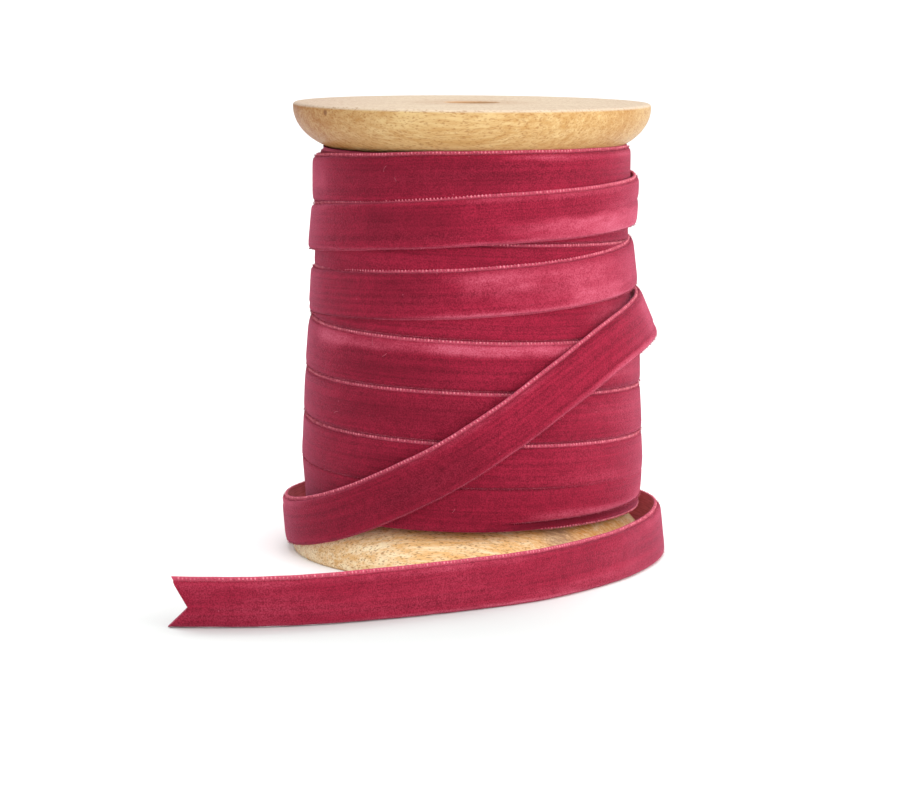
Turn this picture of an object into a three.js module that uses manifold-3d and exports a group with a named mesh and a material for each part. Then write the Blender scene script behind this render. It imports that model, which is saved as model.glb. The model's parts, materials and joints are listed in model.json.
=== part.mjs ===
// Velvet ribbon on a turned wooden spool that stands on its foot.
// Millimetres. +Z runs up the spool's axis, -Y faces the viewer and +X is to the viewer's right.
// The origin is the centre of the foot, on the surface that the spool stands on.
// The ribbon is one length, wound clockwise as seen from above: an under layer that climbs the
// barrel, an outer layer that comes down over it, and a loose end that runs on round the foot.

import * as THREE from "three";
import Module from "manifold-3d";
import { mergeVertices } from "three/addons/utils/BufferGeometryUtils.js";

const wasm = await Module();
wasm.setup();

// Pieces that touch stand this far apart
const GAP = 0.3;
const WOUND_CLEAR = 0.45; // from the wound ribbon to the spool it is pressed against

// Spool
const SPOOL_HEIGHT = 92.5;
const FLANGE_RADIUS = 36.6;
const FLANGE_RIM = 0.8; // upright rim beside the flat face
const RIM_ROUND = 0.6; // softened corner of the rim
const DOME_REACH = 12.8; // quarter ellipse from the rim in towards the barrel
const DOME_RISE = 9.2;
const BARREL_RADIUS = 22;
const BORE_RADIUS = 5.5;
const SPOOL_SEGMENTS = 60;
const RIM_STEPS = 2;
const DOME_STEPS = 8;

// Ribbon, its pile included
const RIBBON_WIDTH = 10;
const PILE_THICKNESS = 1.3;
const EDGE_THICKNESS = 0.6; // bare woven edge
const EDGE_WIDTH = 0.8;
const NOTCH = { across: -0.8, depth: 4.1, upperTip: 1.1 }; // swallow-tail cut, its upper tip the shorter
const NOTCH_REACH = 9; // length of ribbon over which the rows close up towards the cut

// Winding
const STEPS_PER_QUARTER = 14;
const SEAM_DIP = 0.35; // how far the surface falls where two turns meet
const CROWN = 0.12;
const TURN_ROWS = [0, 0.09, 0.5, 0.91]; // rows of points down each turn of the under layer
const END_RINGS = [30, 27, 23.8]; // radii of the rings by which its ends follow the flanges inwards
const BURIED = 1.6; // how far an outer turn's solid reaches into the layer below
const LEAVES_AT = 62.8; // angle at which the outer layer ends and the loose end goes on
const TURNS_TO_LOOSE_END = 3 * 360;

// Height of the seam above each turn of the under layer, from the top down. Each turn runs from the
// right round the back and the left to the front, and on to the right of the turn below.
const UNDER_SEAMS = [
  { right: 83.5, back: 80.6, left: 77.6, front: 76.0 },
  { right: 74.3, back: 71.2, left: 68.2, front: 66.6 },
  { right: 64.7, back: 61.6, left: 58.8, front: 57.0 },
  { right: 55.3, back: 52.2, left: 49.2, front: 47.4 },
  { right: 45.8, back: 42.0, left: 38.6, front: 37.4 },
  { right: 35.2, back: 32.1, left: 29.0, front: 27.3 },
  { right: 25.4, back: 22.6, left: 19.7, front: 18.2 },
  { right: 16.9, back: 13.4, left: 9.9, front: 9.7 },
  { right: 11.4, back: 9.4, left: 8.0 },
];

// Radius of the under layer at its left and its right, from the top down
const UNDER_RADII = [
  { height: 84, left: 30.8, right: 31.2 },
  { height: 66, left: 31.9, right: 32.2 },
  { height: 56, left: 32.2, right: 32.7 },
  { height: 50, left: 32.8, right: 33.2 },
  { height: 46, left: 33.5, right: 34.8 },
  { height: 34, left: 34.2, right: 35.2 },
  { height: 20, left: 34.7, right: 35.9 },
  { height: 14, left: 34.2, right: 35.1 },
  { height: 8, left: 33.6, right: 33.8 },
];

// Outer layer at each quarter turn: the middle of the ribbon's width, at its pile side.
// The angle is in degrees from +X. A lean above zero tips the lower edge outwards.
const OUTER_TURNS = [
  { angle: 90, radius: 31.9, height: 78.6, lean: 0 },
  { angle: 0, radius: 32.6, height: 79.2, lean: 0 },
  { angle: -90, radius: 32.9, height: 79.4, lean: 0 },
  { angle: -180, radius: 32.6, height: 77.0, lean: 0 },
  { angle: -270, radius: 33.4, height: 75.2, lean: 0 },
  { angle: -360, radius: 34.3, height: 73.2, lean: -2 },
  { angle: -450, radius: 33.8, height: 70.9, lean: 1 },
  { angle: -540, radius: 33.2, height: 67.2, lean: 5 },
  { angle: -630, radius: 33.4, height: 64.0, lean: 5 },
  { angle: -720, radius: 33.9, height: 60.7, lean: 7 },
  { angle: -810, radius: 33.7, height: 56.8, lean: 5 },
  { angle: -900, radius: 33.2, height: 54.4, lean: 3 },
  { angle: -990, radius: 34.2, height: 52.3, lean: 4 },
  { angle: LEAVES_AT - TURNS_TO_LOOSE_END, radius: 35.2, height: 51.6, lean: 5 },
];

// Loose end, from where it leaves the winding to its cut: the middle of its width, at its back.
// Where no height is given its lower edge lies on the surface under the spool.
const LOOSE_END = [
  { angle: 62, radius: 34.2, height: 51.5, lean: 6 },
  { angle: 40, radius: 34.8, height: 51.1, lean: 9 },
  { angle: 20, radius: 35.3, height: 50.6, lean: 15 },
  { angle: 0, radius: 35.7, height: 49.7, lean: 23 },
  { angle: -20, radius: 36.1, height: 48.5, lean: 21 },
  { angle: -40, radius: 36.6, height: 45.3, lean: 16 },
  { angle: -60, radius: 36.4, height: 38.6, lean: 6 },
  { angle: -80, radius: 36.5, height: 30.0, lean: -6 },
  { angle: -100, radius: 36.4, height: 21.9, lean: -10 },
  { angle: -120, radius: 36.0, height: 15.4, lean: -8 },
  { angle: -140, radius: 36.4, height: 10.5, lean: -7 },
  { angle: -160, radius: 37.1, height: 7.6, lean: -5 },
  { angle: -180, radius: 37.4, height: 6.4, lean: -5 },
  { angle: -225, radius: 37.7, height: 5.9, lean: -2 },
  { angle: -270, radius: 38.2, height: 5.5, lean: 2 },
  { angle: -315, radius: 38.4, lean: 6 },
  { angle: -350, radius: 38.9, lean: 3 },
  { angle: -372, radius: 39.3, lean: 9 },
  { angle: -391, radius: 40.6, lean: 12 },
  { angle: -406, radius: 43.4, lean: 10 },
  { angle: -421, radius: 47.6, lean: 7 },
  { angle: -437, radius: 54.0, lean: 3 },
  { angle: -450, radius: 60.2, lean: -1 },
  { angle: -462, radius: 70.0, lean: -5 },
  { angle: -472, radius: 81.4, lean: -11 },
  { angle: -480, radius: 89.6, lean: -12 },
  { angle: -485, radius: 94.8, lean: -11 },
];
const LOOSE_STEPS = 6; // columns of points from one station to the next
const OUTER_STEPS = 12;
const SLAB_STATIONS = 2; // the outer layer joins the winding half a turn at a time
const FINEST_DETAIL = 0.05; // edges and ledges left by the union that are finer than this go

const radians = THREE.MathUtils.degToRad;

// Closed surface put together from points and faces
class Surface {
  constructor() {
    this.points = [];
    this.faces = [];
  }

  point({ x, y, z }) {
    this.points.push(x, y, z);
    return this.points.length / 3 - 1;
  }

  triangle(a, b, c) {
    if (a !== b && b !== c && c !== a) this.faces.push(a, b, c);
  }

  quad(a, b, c, d) {
    this.triangle(a, b, c);
    this.triangle(a, c, d);
  }

  // Faces between two rows of points that run side by side
  band(upper, lower) {
    for (let i = 0; i + 1 < upper.length; i++) {
      this.quad(upper[i], lower[i], lower[i + 1], upper[i + 1]);
    }
  }

  geometry() {
    const geometry = new THREE.BufferGeometry();
    geometry.setAttribute("position", new THREE.Float32BufferAttribute(this.points, 3));
    geometry.setIndex(this.faces);
    return geometry;
  }
}

// Value of an evenly spaced row of values, read smoothly between them
function smooth(values, at) {
  const curve = new THREE.SplineCurve(values.map((value, i) => new THREE.Vector2(i, value)));
  return curve.getPoint(at / (values.length - 1)).y;
}

function onAxisCircle(radius, degrees, height) {
  const angle = radians(degrees);
  return new THREE.Vector3(radius * Math.cos(angle), radius * Math.sin(angle), height);
}

// Thickness of a flange at a distance from the axis
function flangeThickness(radius) {
  const across = Math.max(radius - FLANGE_RADIUS + DOME_REACH, 0) / DOME_REACH;
  return FLANGE_RIM + DOME_RISE * Math.sqrt(Math.max(1 - across ** 2, 0));
}

// Height kept clear of both flanges at that radius
function betweenFlanges(radius, height) {
  const clear = flangeThickness(radius) + WOUND_CLEAR;
  return THREE.MathUtils.clamp(height, clear, SPOOL_HEIGHT - clear);
}

// Spool

function turned(profile) {
  const geometry = new THREE.LatheGeometry(profile, SPOOL_SEGMENTS);
  return geometry.rotateX(Math.PI / 2);
}

function flangeGeometry(boreRadius) {
  const profile = [new THREE.Vector2(boreRadius, 0)];
  for (let i = 0; i <= RIM_STEPS; i++) {
    const turn = (Math.PI / 2) * (i / RIM_STEPS);
    const radius = FLANGE_RADIUS - RIM_ROUND * (1 - Math.sin(turn));
    profile.push(new THREE.Vector2(radius, RIM_ROUND * (1 - Math.cos(turn))));
  }
  for (let i = 0; i <= DOME_STEPS; i++) {
    const turn = (Math.PI / 2) * (i / DOME_STEPS);
    const radius = FLANGE_RADIUS - DOME_REACH * (1 - Math.cos(turn));
    profile.push(new THREE.Vector2(radius, FLANGE_RIM + DOME_RISE * Math.sin(turn)));
  }
  profile.push(new THREE.Vector2(boreRadius, FLANGE_RIM + DOME_RISE));
  if (boreRadius > 0) profile.push(profile[0].clone());
  return turned(profile);
}

function barrelGeometry() {
  const foot = FLANGE_RIM + DOME_RISE + GAP;
  const head = SPOOL_HEIGHT - foot;
  const corners = [
    [BORE_RADIUS, foot],
    [BARREL_RADIUS, foot],
    [BARREL_RADIUS, head],
    [BORE_RADIUS, head],
    [BORE_RADIUS, foot],
  ];
  return turned(corners.map(([radius, height]) => new THREE.Vector2(radius, height)));
}

// Under layer of the winding

const seamHeights = UNDER_SEAMS.flatMap(({ right, back, left, front }) => [right, back, left, front])
  .filter((height) => height !== undefined);
const SEAM_STEPS = (seamHeights.length - 1) * STEPS_PER_QUARTER;
const TURN_STEPS = 4 * STEPS_PER_QUARTER;
const WINDING_TOP = seamHeights[0];
const WINDING_FOOT = seamHeights[seamHeights.length - 1];

function underRadius(degrees, height) {
  const below = UNDER_RADII.findIndex((row) => row.height <= height);
  const lower = UNDER_RADII[below < 0 ? UNDER_RADII.length - 1 : below];
  const upper = UNDER_RADII[Math.max(UNDER_RADII.indexOf(lower) - 1, 0)];
  const span = upper.height - lower.height || 1;
  const share = THREE.MathUtils.clamp((height - lower.height) / span, 0, 1);
  const left = THREE.MathUtils.lerp(lower.left, upper.left, share);
  const right = THREE.MathUtils.lerp(lower.right, upper.right, share);
  return (left + right) / 2 + ((right - left) / 2) * Math.cos(radians(degrees));
}

// Point of the under layer: the share goes from the seam above the turn to the seam below it
function underPoint(step, share, top, foot) {
  const degrees = (step / STEPS_PER_QUARTER) * 90;
  const height = THREE.MathUtils.lerp(top, foot, share);
  const bow = Math.sin(Math.PI * share);
  const dip = share === 0 ? SEAM_DIP : 0;
  return onAxisCircle(underRadius(degrees, height) + CROWN * bow - dip, degrees, height);
}

function underLayerGeometry() {
  const surface = new Surface();
  const seam = (step) => smooth(seamHeights, step / STEPS_PER_QUARTER);
  const lastStep = SEAM_STEPS - TURN_STEPS;

  // The seam, and under it the rows of each turn down to the seam one turn on
  const columns = [];
  for (let step = 0; step <= SEAM_STEPS; step++) {
    const rows = step > lastStep ? [0] : TURN_ROWS;
    const foot = step > lastStep ? WINDING_FOOT : seam(step + TURN_STEPS);
    columns.push(rows.map((share) => surface.point(underPoint(step, share, seam(step), foot))));
  }
  const column = (step) => [...columns[step], columns[step + TURN_STEPS][0]];
  for (let step = 0; step < lastStep; step++) surface.band(column(step + 1), column(step));

  // Wedge between the level top and the first turn of the seam
  let before = [columns[0][0]];
  const topRing = [columns[0][0]];
  for (let step = 1; step <= TURN_STEPS; step++) {
    const closing = step === TURN_STEPS;
    const rows = TURN_ROWS.map((share) =>
      closing ? 0 : surface.point(underPoint(step, share, WINDING_TOP, seam(step))));
    const here = closing ? column(0) : [...rows, columns[step][0]];
    if (before.length === 1) here.slice(1).forEach((lower, i) => surface.triangle(before[0], lower, here[i]));
    else surface.band(here, before);
    topRing.push(here[0]);
    before = here;
  }

  // Wedge between the last turn of the seam and the level foot
  before = column(lastStep);
  const footRing = [before[before.length - 1]];
  for (let step = lastStep + 1; step <= SEAM_STEPS; step++) {
    const closing = step === SEAM_STEPS;
    const rows = [...TURN_ROWS.slice(1), 1].map((share) =>
      closing ? 0 : surface.point(underPoint(step, share, seam(step), WINDING_FOOT)));
    const here = closing ? [footRing[0]] : [columns[step][0], ...rows];
    if (closing) before.slice(1).forEach((lower, i) => surface.triangle(before[i], lower, here[0]));
    else surface.band(here, before);
    footRing.push(here[here.length - 1]);
    before = here;
  }

  // Ends that follow the flanges in to the barrel, and the hollow round the barrel
  const inward = [...END_RINGS, BARREL_RADIUS + WOUND_CLEAR];
  const ring = (firstStep, radius, height) => {
    const points = [];
    for (let i = 0; i < TURN_STEPS; i++) {
      const degrees = ((firstStep + i) / STEPS_PER_QUARTER) * 90;
      points.push(surface.point(onAxisCircle(radius, degrees, betweenFlanges(radius, height))));
    }
    return [...points, points[0]];
  };
  const headRings = [topRing, ...inward.map((radius) => ring(0, radius, SPOOL_HEIGHT))];
  const footRings = [footRing, ...inward.map((radius) => ring(lastStep, radius, 0))];
  for (let i = 0; i + 1 < headRings.length; i++) {
    surface.band(headRings[i + 1], headRings[i]);
    surface.band(footRings[i], footRings[i + 1]);
  }
  const headInner = headRings[headRings.length - 1];
  const footInner = footRings[footRings.length - 1];
  const quarterShift = lastStep % TURN_STEPS;
  const turnedFoot = footInner.slice(0, TURN_STEPS);
  const matched = turnedFoot.map((_, i) => turnedFoot[(i - quarterShift + TURN_STEPS) % TURN_STEPS]);
  surface.band([...matched, matched[0]], headInner);
  return surface.geometry();
}

// Ribbon lying along a run of stations

// Rows across the ribbon from its lower to its upper edge, and its thickness at each
const RIBBON_ROWS = [
  { across: -RIBBON_WIDTH / 2, thick: EDGE_THICKNESS },
  { across: -RIBBON_WIDTH / 2 + EDGE_WIDTH, thick: PILE_THICKNESS },
  { across: NOTCH.across, thick: PILE_THICKNESS },
  { across: RIBBON_WIDTH / 2 - EDGE_WIDTH, thick: PILE_THICKNESS },
  { across: RIBBON_WIDTH / 2, thick: EDGE_THICKNESS },
];

// How far a row stops short of the lower tip at the swallow-tail cut
function notchDepth(across) {
  const edge = RIBBON_WIDTH / 2;
  if (across < NOTCH.across) return THREE.MathUtils.mapLinear(across, -edge, NOTCH.across, 0, NOTCH.depth);
  return THREE.MathUtils.mapLinear(across, NOTCH.across, edge, NOTCH.depth, NOTCH.upperTip);
}

// Centre height at which a leaning ribbon stands on its lower edge
function standingHeight(lean) {
  const tilt = radians(lean);
  const backBelow = (RIBBON_WIDTH / 2) * Math.cos(tilt);
  return backBelow - Math.min(EDGE_THICKNESS * Math.sin(tilt), 0);
}

function ribbonPath(stations) {
  const channels = ["angle", "radius", "height", "lean"].map((name) =>
    stations.map((station) => station[name] ?? standingHeight(station.lean)));
  const place = (at) => {
    const [angle, radius, height] = channels.map((values) => smooth(values, at));
    return onAxisCircle(radius, angle, height);
  };
  const last = stations.length - 1;
  const glance = 0.02; // how far ahead and behind the direction is read

  return (at) => {
    const ahead = place(Math.min(at + glance, last));
    const along = ahead.sub(place(Math.max(at - glance, 0))).normalize();
    const out = new THREE.Vector3(0, 0, 1).cross(along).normalize();
    const up = new THREE.Vector3().crossVectors(along, out);
    const lean = radians(smooth(channels[3], at));
    return {
      origin: place(at),
      along,
      up: up.clone().multiplyScalar(Math.cos(lean)).addScaledVector(out, -Math.sin(lean)),
      out: out.clone().multiplyScalar(Math.cos(lean)).addScaledVector(up, Math.sin(lean)),
    };
  };
}

// Solid ribbon from one place on its path to another: depth is where its back lies from the path,
// and fit moves each finished point
function ribbonSurface({ path, from, to, columns, back, face, cut = 0, fit = (point) => point }) {
  const surface = new Surface();
  const frames = [];
  let length = 0;
  for (let i = 0; i <= columns; i++) {
    const frame = path(THREE.MathUtils.lerp(from, to, i / columns));
    length += i ? frame.origin.distanceTo(frames[i - 1].origin) : 0;
    frames.push({ ...frame, length });
  }
  const sides = frames.map((frame) => {
    const closing = Math.max(1 - (length - frame.length) / NOTCH_REACH, 0);
    const at = (across, depth) => {
      const point = frame.origin.clone().addScaledVector(frame.up, across).addScaledVector(frame.out, depth);
      return surface.point(fit(point.addScaledVector(frame.along, -cut * closing * notchDepth(across))));
    };
    return {
      pile: RIBBON_ROWS.map(({ across, thick }) => at(across, face + thick)),
      backing: RIBBON_ROWS.map(({ across }) => at(across, back)),
    };
  });
  for (let i = 0; i < columns; i++) {
    const [here, next] = [sides[i], sides[i + 1]];
    const lastRow = RIBBON_ROWS.length - 1;
    surface.band(next.pile, here.pile);
    surface.band(here.backing, next.backing);
    surface.quad(here.pile[lastRow], here.backing[lastRow], next.backing[lastRow], next.pile[lastRow]);
    surface.quad(here.pile[0], next.pile[0], next.backing[0], here.backing[0]);
  }
  const [first, last] = [sides[0], sides[columns]];
  for (let k = 0; k + 1 < RIBBON_ROWS.length; k++) {
    surface.quad(first.pile[k], first.backing[k], first.backing[k + 1], first.pile[k + 1]);
    surface.quad(last.pile[k], last.pile[k + 1], last.backing[k + 1], last.backing[k]);
  }
  return surface.geometry();
}

// Winding: the under layer with the outer turns laid over it

function solidOf(geometry) {
  const merged = mergeVertices(geometry, 1e-4);
  return new wasm.Manifold(new wasm.Mesh({
    numProp: 3,
    vertProperties: merged.attributes.position.array,
    triVerts: new Uint32Array(merged.index.array),
  }));
}

function geometryOf(solid) {
  const { numProp, vertProperties, triVerts } = solid.getMesh();
  const geometry = new THREE.BufferGeometry();
  const points = new THREE.InterleavedBuffer(vertProperties, numProp);
  geometry.setAttribute("position", new THREE.InterleavedBufferAttribute(points, 3, 0));
  geometry.setIndex(new THREE.BufferAttribute(triVerts, 1));
  return geometry.toNonIndexed();
}

function clearOfFlanges(point) {
  point.z = betweenFlanges(Math.hypot(point.x, point.y), point.z);
  return point;
}

function onOrAboveSurface(point) {
  point.z = Math.max(point.z, 0);
  return point;
}

function windingGeometry() {
  const path = ribbonPath(OUTER_TURNS);
  const lastStation = OUTER_TURNS.length - 1;
  let solid = solidOf(underLayerGeometry());
  for (let from = 0; from < lastStation; from += SLAB_STATIONS) {
    const to = Math.min(from + SLAB_STATIONS, lastStation);
    const part = ribbonSurface({
      path,
      from,
      to,
      columns: OUTER_STEPS * (to - from),
      back: -PILE_THICKNESS - BURIED,
      face: -PILE_THICKNESS,
      fit: clearOfFlanges,
    });
    solid = solid.add(solidOf(part));
  }
  const bodies = solid.asOriginal().simplify(FINEST_DETAIL).decompose().sort((a, b) => b.volume() - a.volume());
  return geometryOf(bodies[0]);
}

function looseEndGeometry() {
  return ribbonSurface({
    path: ribbonPath(LOOSE_END),
    from: 0,
    to: LOOSE_END.length - 1,
    columns: LOOSE_STEPS * (LOOSE_END.length - 1),
    back: 0,
    face: 0,
    cut: 1,
    fit: onOrAboveSurface,
  });
}

// Materials
const wood = new THREE.MeshStandardMaterial({ color: 0xc99a5b, roughness: 0.42, metalness: 0 });
const velvet = new THREE.MeshStandardMaterial({ color: 0x9c2744, roughness: 0.95, metalness: 0 });

function piece(name, geometry, material) {
  const mesh = new THREE.Mesh(geometry, material);
  mesh.name = name;
  return mesh;
}

const topFlange = piece("spool_top_flange", flangeGeometry(BORE_RADIUS), wood);
topFlange.position.z = SPOOL_HEIGHT;
topFlange.rotation.x = Math.PI;

const ribbonOnSpool = new THREE.Group();
ribbonOnSpool.add(
  topFlange,
  piece("spool_barrel", barrelGeometry(), wood),
  piece("spool_bottom_flange", flangeGeometry(0), wood),
  piece("ribbon_winding", windingGeometry(), velvet),
  piece("ribbon_loose_end", looseEndGeometry(), velvet),
);

export default ribbonOnSpool;
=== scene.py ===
"""Velvet ribbon wound on a turned wooden spool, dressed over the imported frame.

The frame is in metres, +Z up the spool's axis and -Y towards the viewer. Sizes and tables here are
in millimetres, as in the part's source, and are turned into metres when a mesh is made.
"""

from __future__ import annotations

import json
import logging
import math
import sys
from dataclasses import dataclass, field
from enum import Enum
from typing import Sequence

import bpy
import numpy as np
from mathutils import Matrix, Vector, noise

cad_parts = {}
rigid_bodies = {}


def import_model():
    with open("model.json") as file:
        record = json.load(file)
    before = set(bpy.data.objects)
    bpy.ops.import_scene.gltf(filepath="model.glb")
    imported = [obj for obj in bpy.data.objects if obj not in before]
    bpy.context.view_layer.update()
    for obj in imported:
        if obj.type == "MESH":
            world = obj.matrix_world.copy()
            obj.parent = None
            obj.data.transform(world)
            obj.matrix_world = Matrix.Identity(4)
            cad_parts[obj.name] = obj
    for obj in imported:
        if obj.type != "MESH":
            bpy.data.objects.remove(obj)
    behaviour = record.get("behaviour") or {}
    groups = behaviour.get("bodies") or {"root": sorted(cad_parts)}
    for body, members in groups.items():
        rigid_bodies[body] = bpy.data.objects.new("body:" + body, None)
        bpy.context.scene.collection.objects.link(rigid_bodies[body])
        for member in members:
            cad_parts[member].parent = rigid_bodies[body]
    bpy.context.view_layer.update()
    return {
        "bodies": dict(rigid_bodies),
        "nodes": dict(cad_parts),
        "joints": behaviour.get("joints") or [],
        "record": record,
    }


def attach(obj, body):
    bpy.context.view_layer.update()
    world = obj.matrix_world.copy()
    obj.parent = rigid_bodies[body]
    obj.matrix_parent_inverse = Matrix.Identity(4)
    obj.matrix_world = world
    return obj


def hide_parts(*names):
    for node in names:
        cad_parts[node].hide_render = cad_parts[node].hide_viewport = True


LOG = logging.getLogger("ribbon_spool")

MM = 0.001
BODY = "root"
QUARTER = 90.0

Colour = tuple[float, float, float]
Point = tuple[float, float, float]


class Slot(Enum):
    """Material slots of the record."""

    WOOD = "wood"
    VELVET = "velvet"


class Held(Enum):
    """How a sheet of cloth is held."""

    LAID = "laid"


class Field(Enum):
    """Point attributes that the finishes read."""

    WOVEN = "woven"
    CRUSH_AND_PAINTED_LIGHT = "crush_and_painted_light"
    OUTWARD = "outward"
    UPWARD = "upward"


# Tables of the ribbon's course, the same as the solids'


@dataclass(frozen=True)
class Station:
    """Place of the ribbon at one angle round the spool.

    Without a height the ribbon stands on its lower edge, on the surface under the spool.
    """

    angle: float
    radius: float
    height: float | None
    lean: float


SEAM_HEIGHTS: tuple[float, ...] = (
    83.5, 80.6, 77.6, 76.0,
    74.3, 71.2, 68.2, 66.6,
    64.7, 61.6, 58.8, 57.0,
    55.3, 52.2, 49.2, 47.4,
    45.8, 42.0, 38.6, 37.4,
    35.2, 32.1, 29.0, 27.3,
    25.4, 22.6, 19.7, 18.2,
    16.9, 13.4, 10.3, 10.9,
    11.9, 10.9, 9.5,
)  # fmt: skip

# Height, radius on the left and radius on the right, from the top down
UNDER_RADII: tuple[tuple[float, float, float], ...] = (
    (84, 30.8, 31.2),
    (66, 31.9, 32.2),
    (56, 32.2, 32.7),
    (50, 32.8, 33.2),
    (46, 33.5, 34.8),
    (34, 34.2, 35.2),
    (20, 34.7, 35.9),
    (14, 34.2, 35.6),
    (8, 33.6, 35.4),
)

OUTER_TURNS: tuple[Station, ...] = (
    Station(105, 32.0, 75.2, 0),
    Station(72, 32.1, 76.0, 0),
    Station(38, 32.3, 78.0, 0),
    Station(0, 32.6, 79.2, 0),
    Station(-90, 32.9, 79.4, 0),
    Station(-180, 32.6, 77.0, 0),
    Station(-270, 33.4, 75.2, 0),
    Station(-360, 34.3, 73.2, -2),
    Station(-450, 33.8, 70.9, 1),
    Station(-540, 33.2, 67.2, 5),
    Station(-630, 33.4, 64.0, 5),
    Station(-720, 33.9, 60.7, 7),
    Station(-810, 33.7, 56.8, 5),
    Station(-900, 33.2, 54.4, 3),
    Station(-990, 34.3, 52.3, 4),
    Station(-1018, 35.4, 51.5, 6),
)

LOOSE_END: tuple[Station, ...] = (
    Station(62, 34.1, 51.5, 6),
    Station(40, 34.8, 51.1, 9),
    Station(20, 35.3, 50.6, 15),
    Station(0, 35.7, 49.7, 23),
    Station(-20, 36.1, 48.5, 21),
    Station(-40, 36.6, 45.3, 16),
    Station(-60, 36.4, 38.6, 6),
    Station(-80, 36.5, 30.0, -6),
    Station(-100, 36.4, 21.9, -10),
    Station(-120, 36.0, 15.4, -8),
    Station(-140, 36.4, 10.5, -7),
    Station(-160, 37.1, 7.6, -5),
    Station(-180, 37.4, 6.4, -5),
    Station(-225, 37.7, 5.9, -2),
    Station(-270, 38.2, 5.5, 2),
    Station(-315, 38.4, None, 6),
    Station(-350, 38.9, None, 3),
    Station(-372, 39.3, None, 9),
    Station(-391, 40.6, None, 12),
    Station(-406, 43.4, None, 10),
    Station(-421, 47.6, None, 7),
    Station(-437, 54.8, None, 3),
    Station(-450, 61.8, None, -1),
    Station(-462, 71.6, None, -6),
    Station(-472, 82.6, None, -12),
    Station(-480, 90.8, None, -13),
    Station(-485, 95.7, None, -12),
)


@dataclass(frozen=True)
class Mark:
    """Soft-edged patch on a run of ribbon: where along it, where across it, and how strong.

    The run is in degrees of the ribbon's own course. The place across is in millimetres from the
    middle of an outer turn or the loose end, and from the upper seam of a turn of the under layer.
    """

    start: float
    end: float
    across: float
    spread: float
    strength: float


# Pile laid flat and paler, or standing up and darker where the strength is below 0. Many of these marks
# are painted light and shade: pale patches and highlight rims along the edges where light falls, on the
# right-hand sides and on the loose end where the floor lights it, and dark patches where shade falls, on
# the left of turns and in the groove over the foot.
OUTER_CRUSH_AND_PAINTED_LIGHT: tuple[Mark, ...] = (
    Mark(-150, -66, 0.3, 3.6, -0.38),
    Mark(-512, -476, 0.0, 4.0, -0.25),
    Mark(-545, -352, 3.9, 0.6, 0.22),
    Mark(-490, -452, 0.0, 4.0, -0.36),
    Mark(-846, -820, 0.5, 3.6, -0.30),
    Mark(-774, -746, -3.2, 1.4, 0.45),
    Mark(-820, -768, 3.2, 1.3, 0.40),
    Mark(-408, -384, -3.8, 1.1, 0.45),
    Mark(-402, -366, 0.4, 3.0, 0.20),
    Mark(-438, -358, -2.7, 2.1, 0.72),
    Mark(-432, -404, -4.3, 0.6, 0.35),
    Mark(-470, -352, -4.6, 0.4, 0.50),
    Mark(-540, -470, -4.6, 0.4, 0.30),
    Mark(-800, -724, -0.2, 3.2, 0.36),
    Mark(-775, -735, 3.0, 1.4, 0.15),
    Mark(-814, -786, 1.4, 2.2, 0.35),
    Mark(-835, -725, -4.5, 0.5, 0.55),
    Mark(-560, -530, 1.0, 2.5, 0.25),
    Mark(-1000, -940, -1.0, 2.4, 0.30),
    Mark(-650, -600, 1.5, 2.0, 0.35),
    Mark(-290, -230, -1.5, 2.2, 0.30),
    Mark(-84, -8, 3.5, 0.6, 0.45),
    Mark(-178, -150, 0.5, 3.0, 0.20),
)
UNDER_CRUSH_AND_PAINTED_LIGHT: tuple[Mark, ...] = (
    Mark(1276, 1392, 1.8, 1.2, 0.40),
    Mark(1300, 1348, 6.5, 2.4, -0.32),
    Mark(1300, 1330, 1.8, 1.2, 0.14),
    Mark(1340, 1396, 1.4, 1.3, 0.22),
    Mark(1034, 1068, 4.4, 3.0, 0.45),
    Mark(1742, 1800, 5.0, 4.2, 0.12),
    Mark(2098, 2165, 5.0, 4.2, 0.16),
    Mark(1660, 1715, 4.5, 2.6, -0.35),
    Mark(2030, 2070, 4.5, 2.6, -0.20),
    Mark(2450, 2516, 5.7, 1.2, 0.65),
    Mark(2796, 2872, 0.5, 0.8, -0.80),
    Mark(2495, 2530, 4.0, 3.0, 0.30),
    Mark(1283, 1302, 2.4, 1.8, 0.25),
    Mark(1337, 1366, 2.2, 1.2, 0.20),
    Mark(1395, 1432, 6.0, 2.6, 0.30),
    Mark(930, 1000, 4.0, 2.0, 0.12),
    Mark(1150, 1230, 6.5, 2.4, 0.40),
    Mark(1540, 1600, 3.5, 2.2, 0.30),
    Mark(1905, 1960, 5.5, 2.4, 0.35),
    Mark(2240, 2330, 7.4, 1.2, 0.30),
    Mark(2610, 2700, 6.2, 1.2, 0.30),
)
LOOSE_CRUSH_AND_PAINTED_LIGHT: tuple[Mark, ...] = (
    Mark(-66, 8, -4.35, 0.55, 0.60),
    Mark(-453, -437, -4.4, 0.5, 0.35),
    Mark(-118, -84, -1.0, 3.6, -0.35),
    Mark(-492, -425, 0.0, 5.5, 0.08),
    Mark(-496, -462, 0.0, 5.5, 0.06),
    Mark(-492, -432, 3.8, 0.7, 0.20),
    Mark(-110, -58, 3.9, 0.6, 0.22),
    Mark(-440, -385, -3.6, 1.6, 0.20),
    Mark(-420, -395, 0.0, 4.6, 0.10),
    Mark(-205, -172, 0.0, 4.6, 0.12),
    Mark(-212, -168, 3.6, 1.0, 0.40),
    Mark(-20, 8, 0.0, 4.5, 0.30),
    Mark(-96, -60, -4.6, 0.4, 0.30),
    Mark(-290, -225, -4.4, 0.6, 0.40),
    Mark(-400, -300, -4.5, 0.5, 0.30),
    Mark(-486, -418, -4.6, 0.45, 0.40),
    Mark(-200, -150, 3.7, 0.8, 0.40),
    Mark(-395, -360, 3.6, 1.0, 0.35),
    Mark(-260, -210, 0.0, 2.2, 0.30),
)

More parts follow.
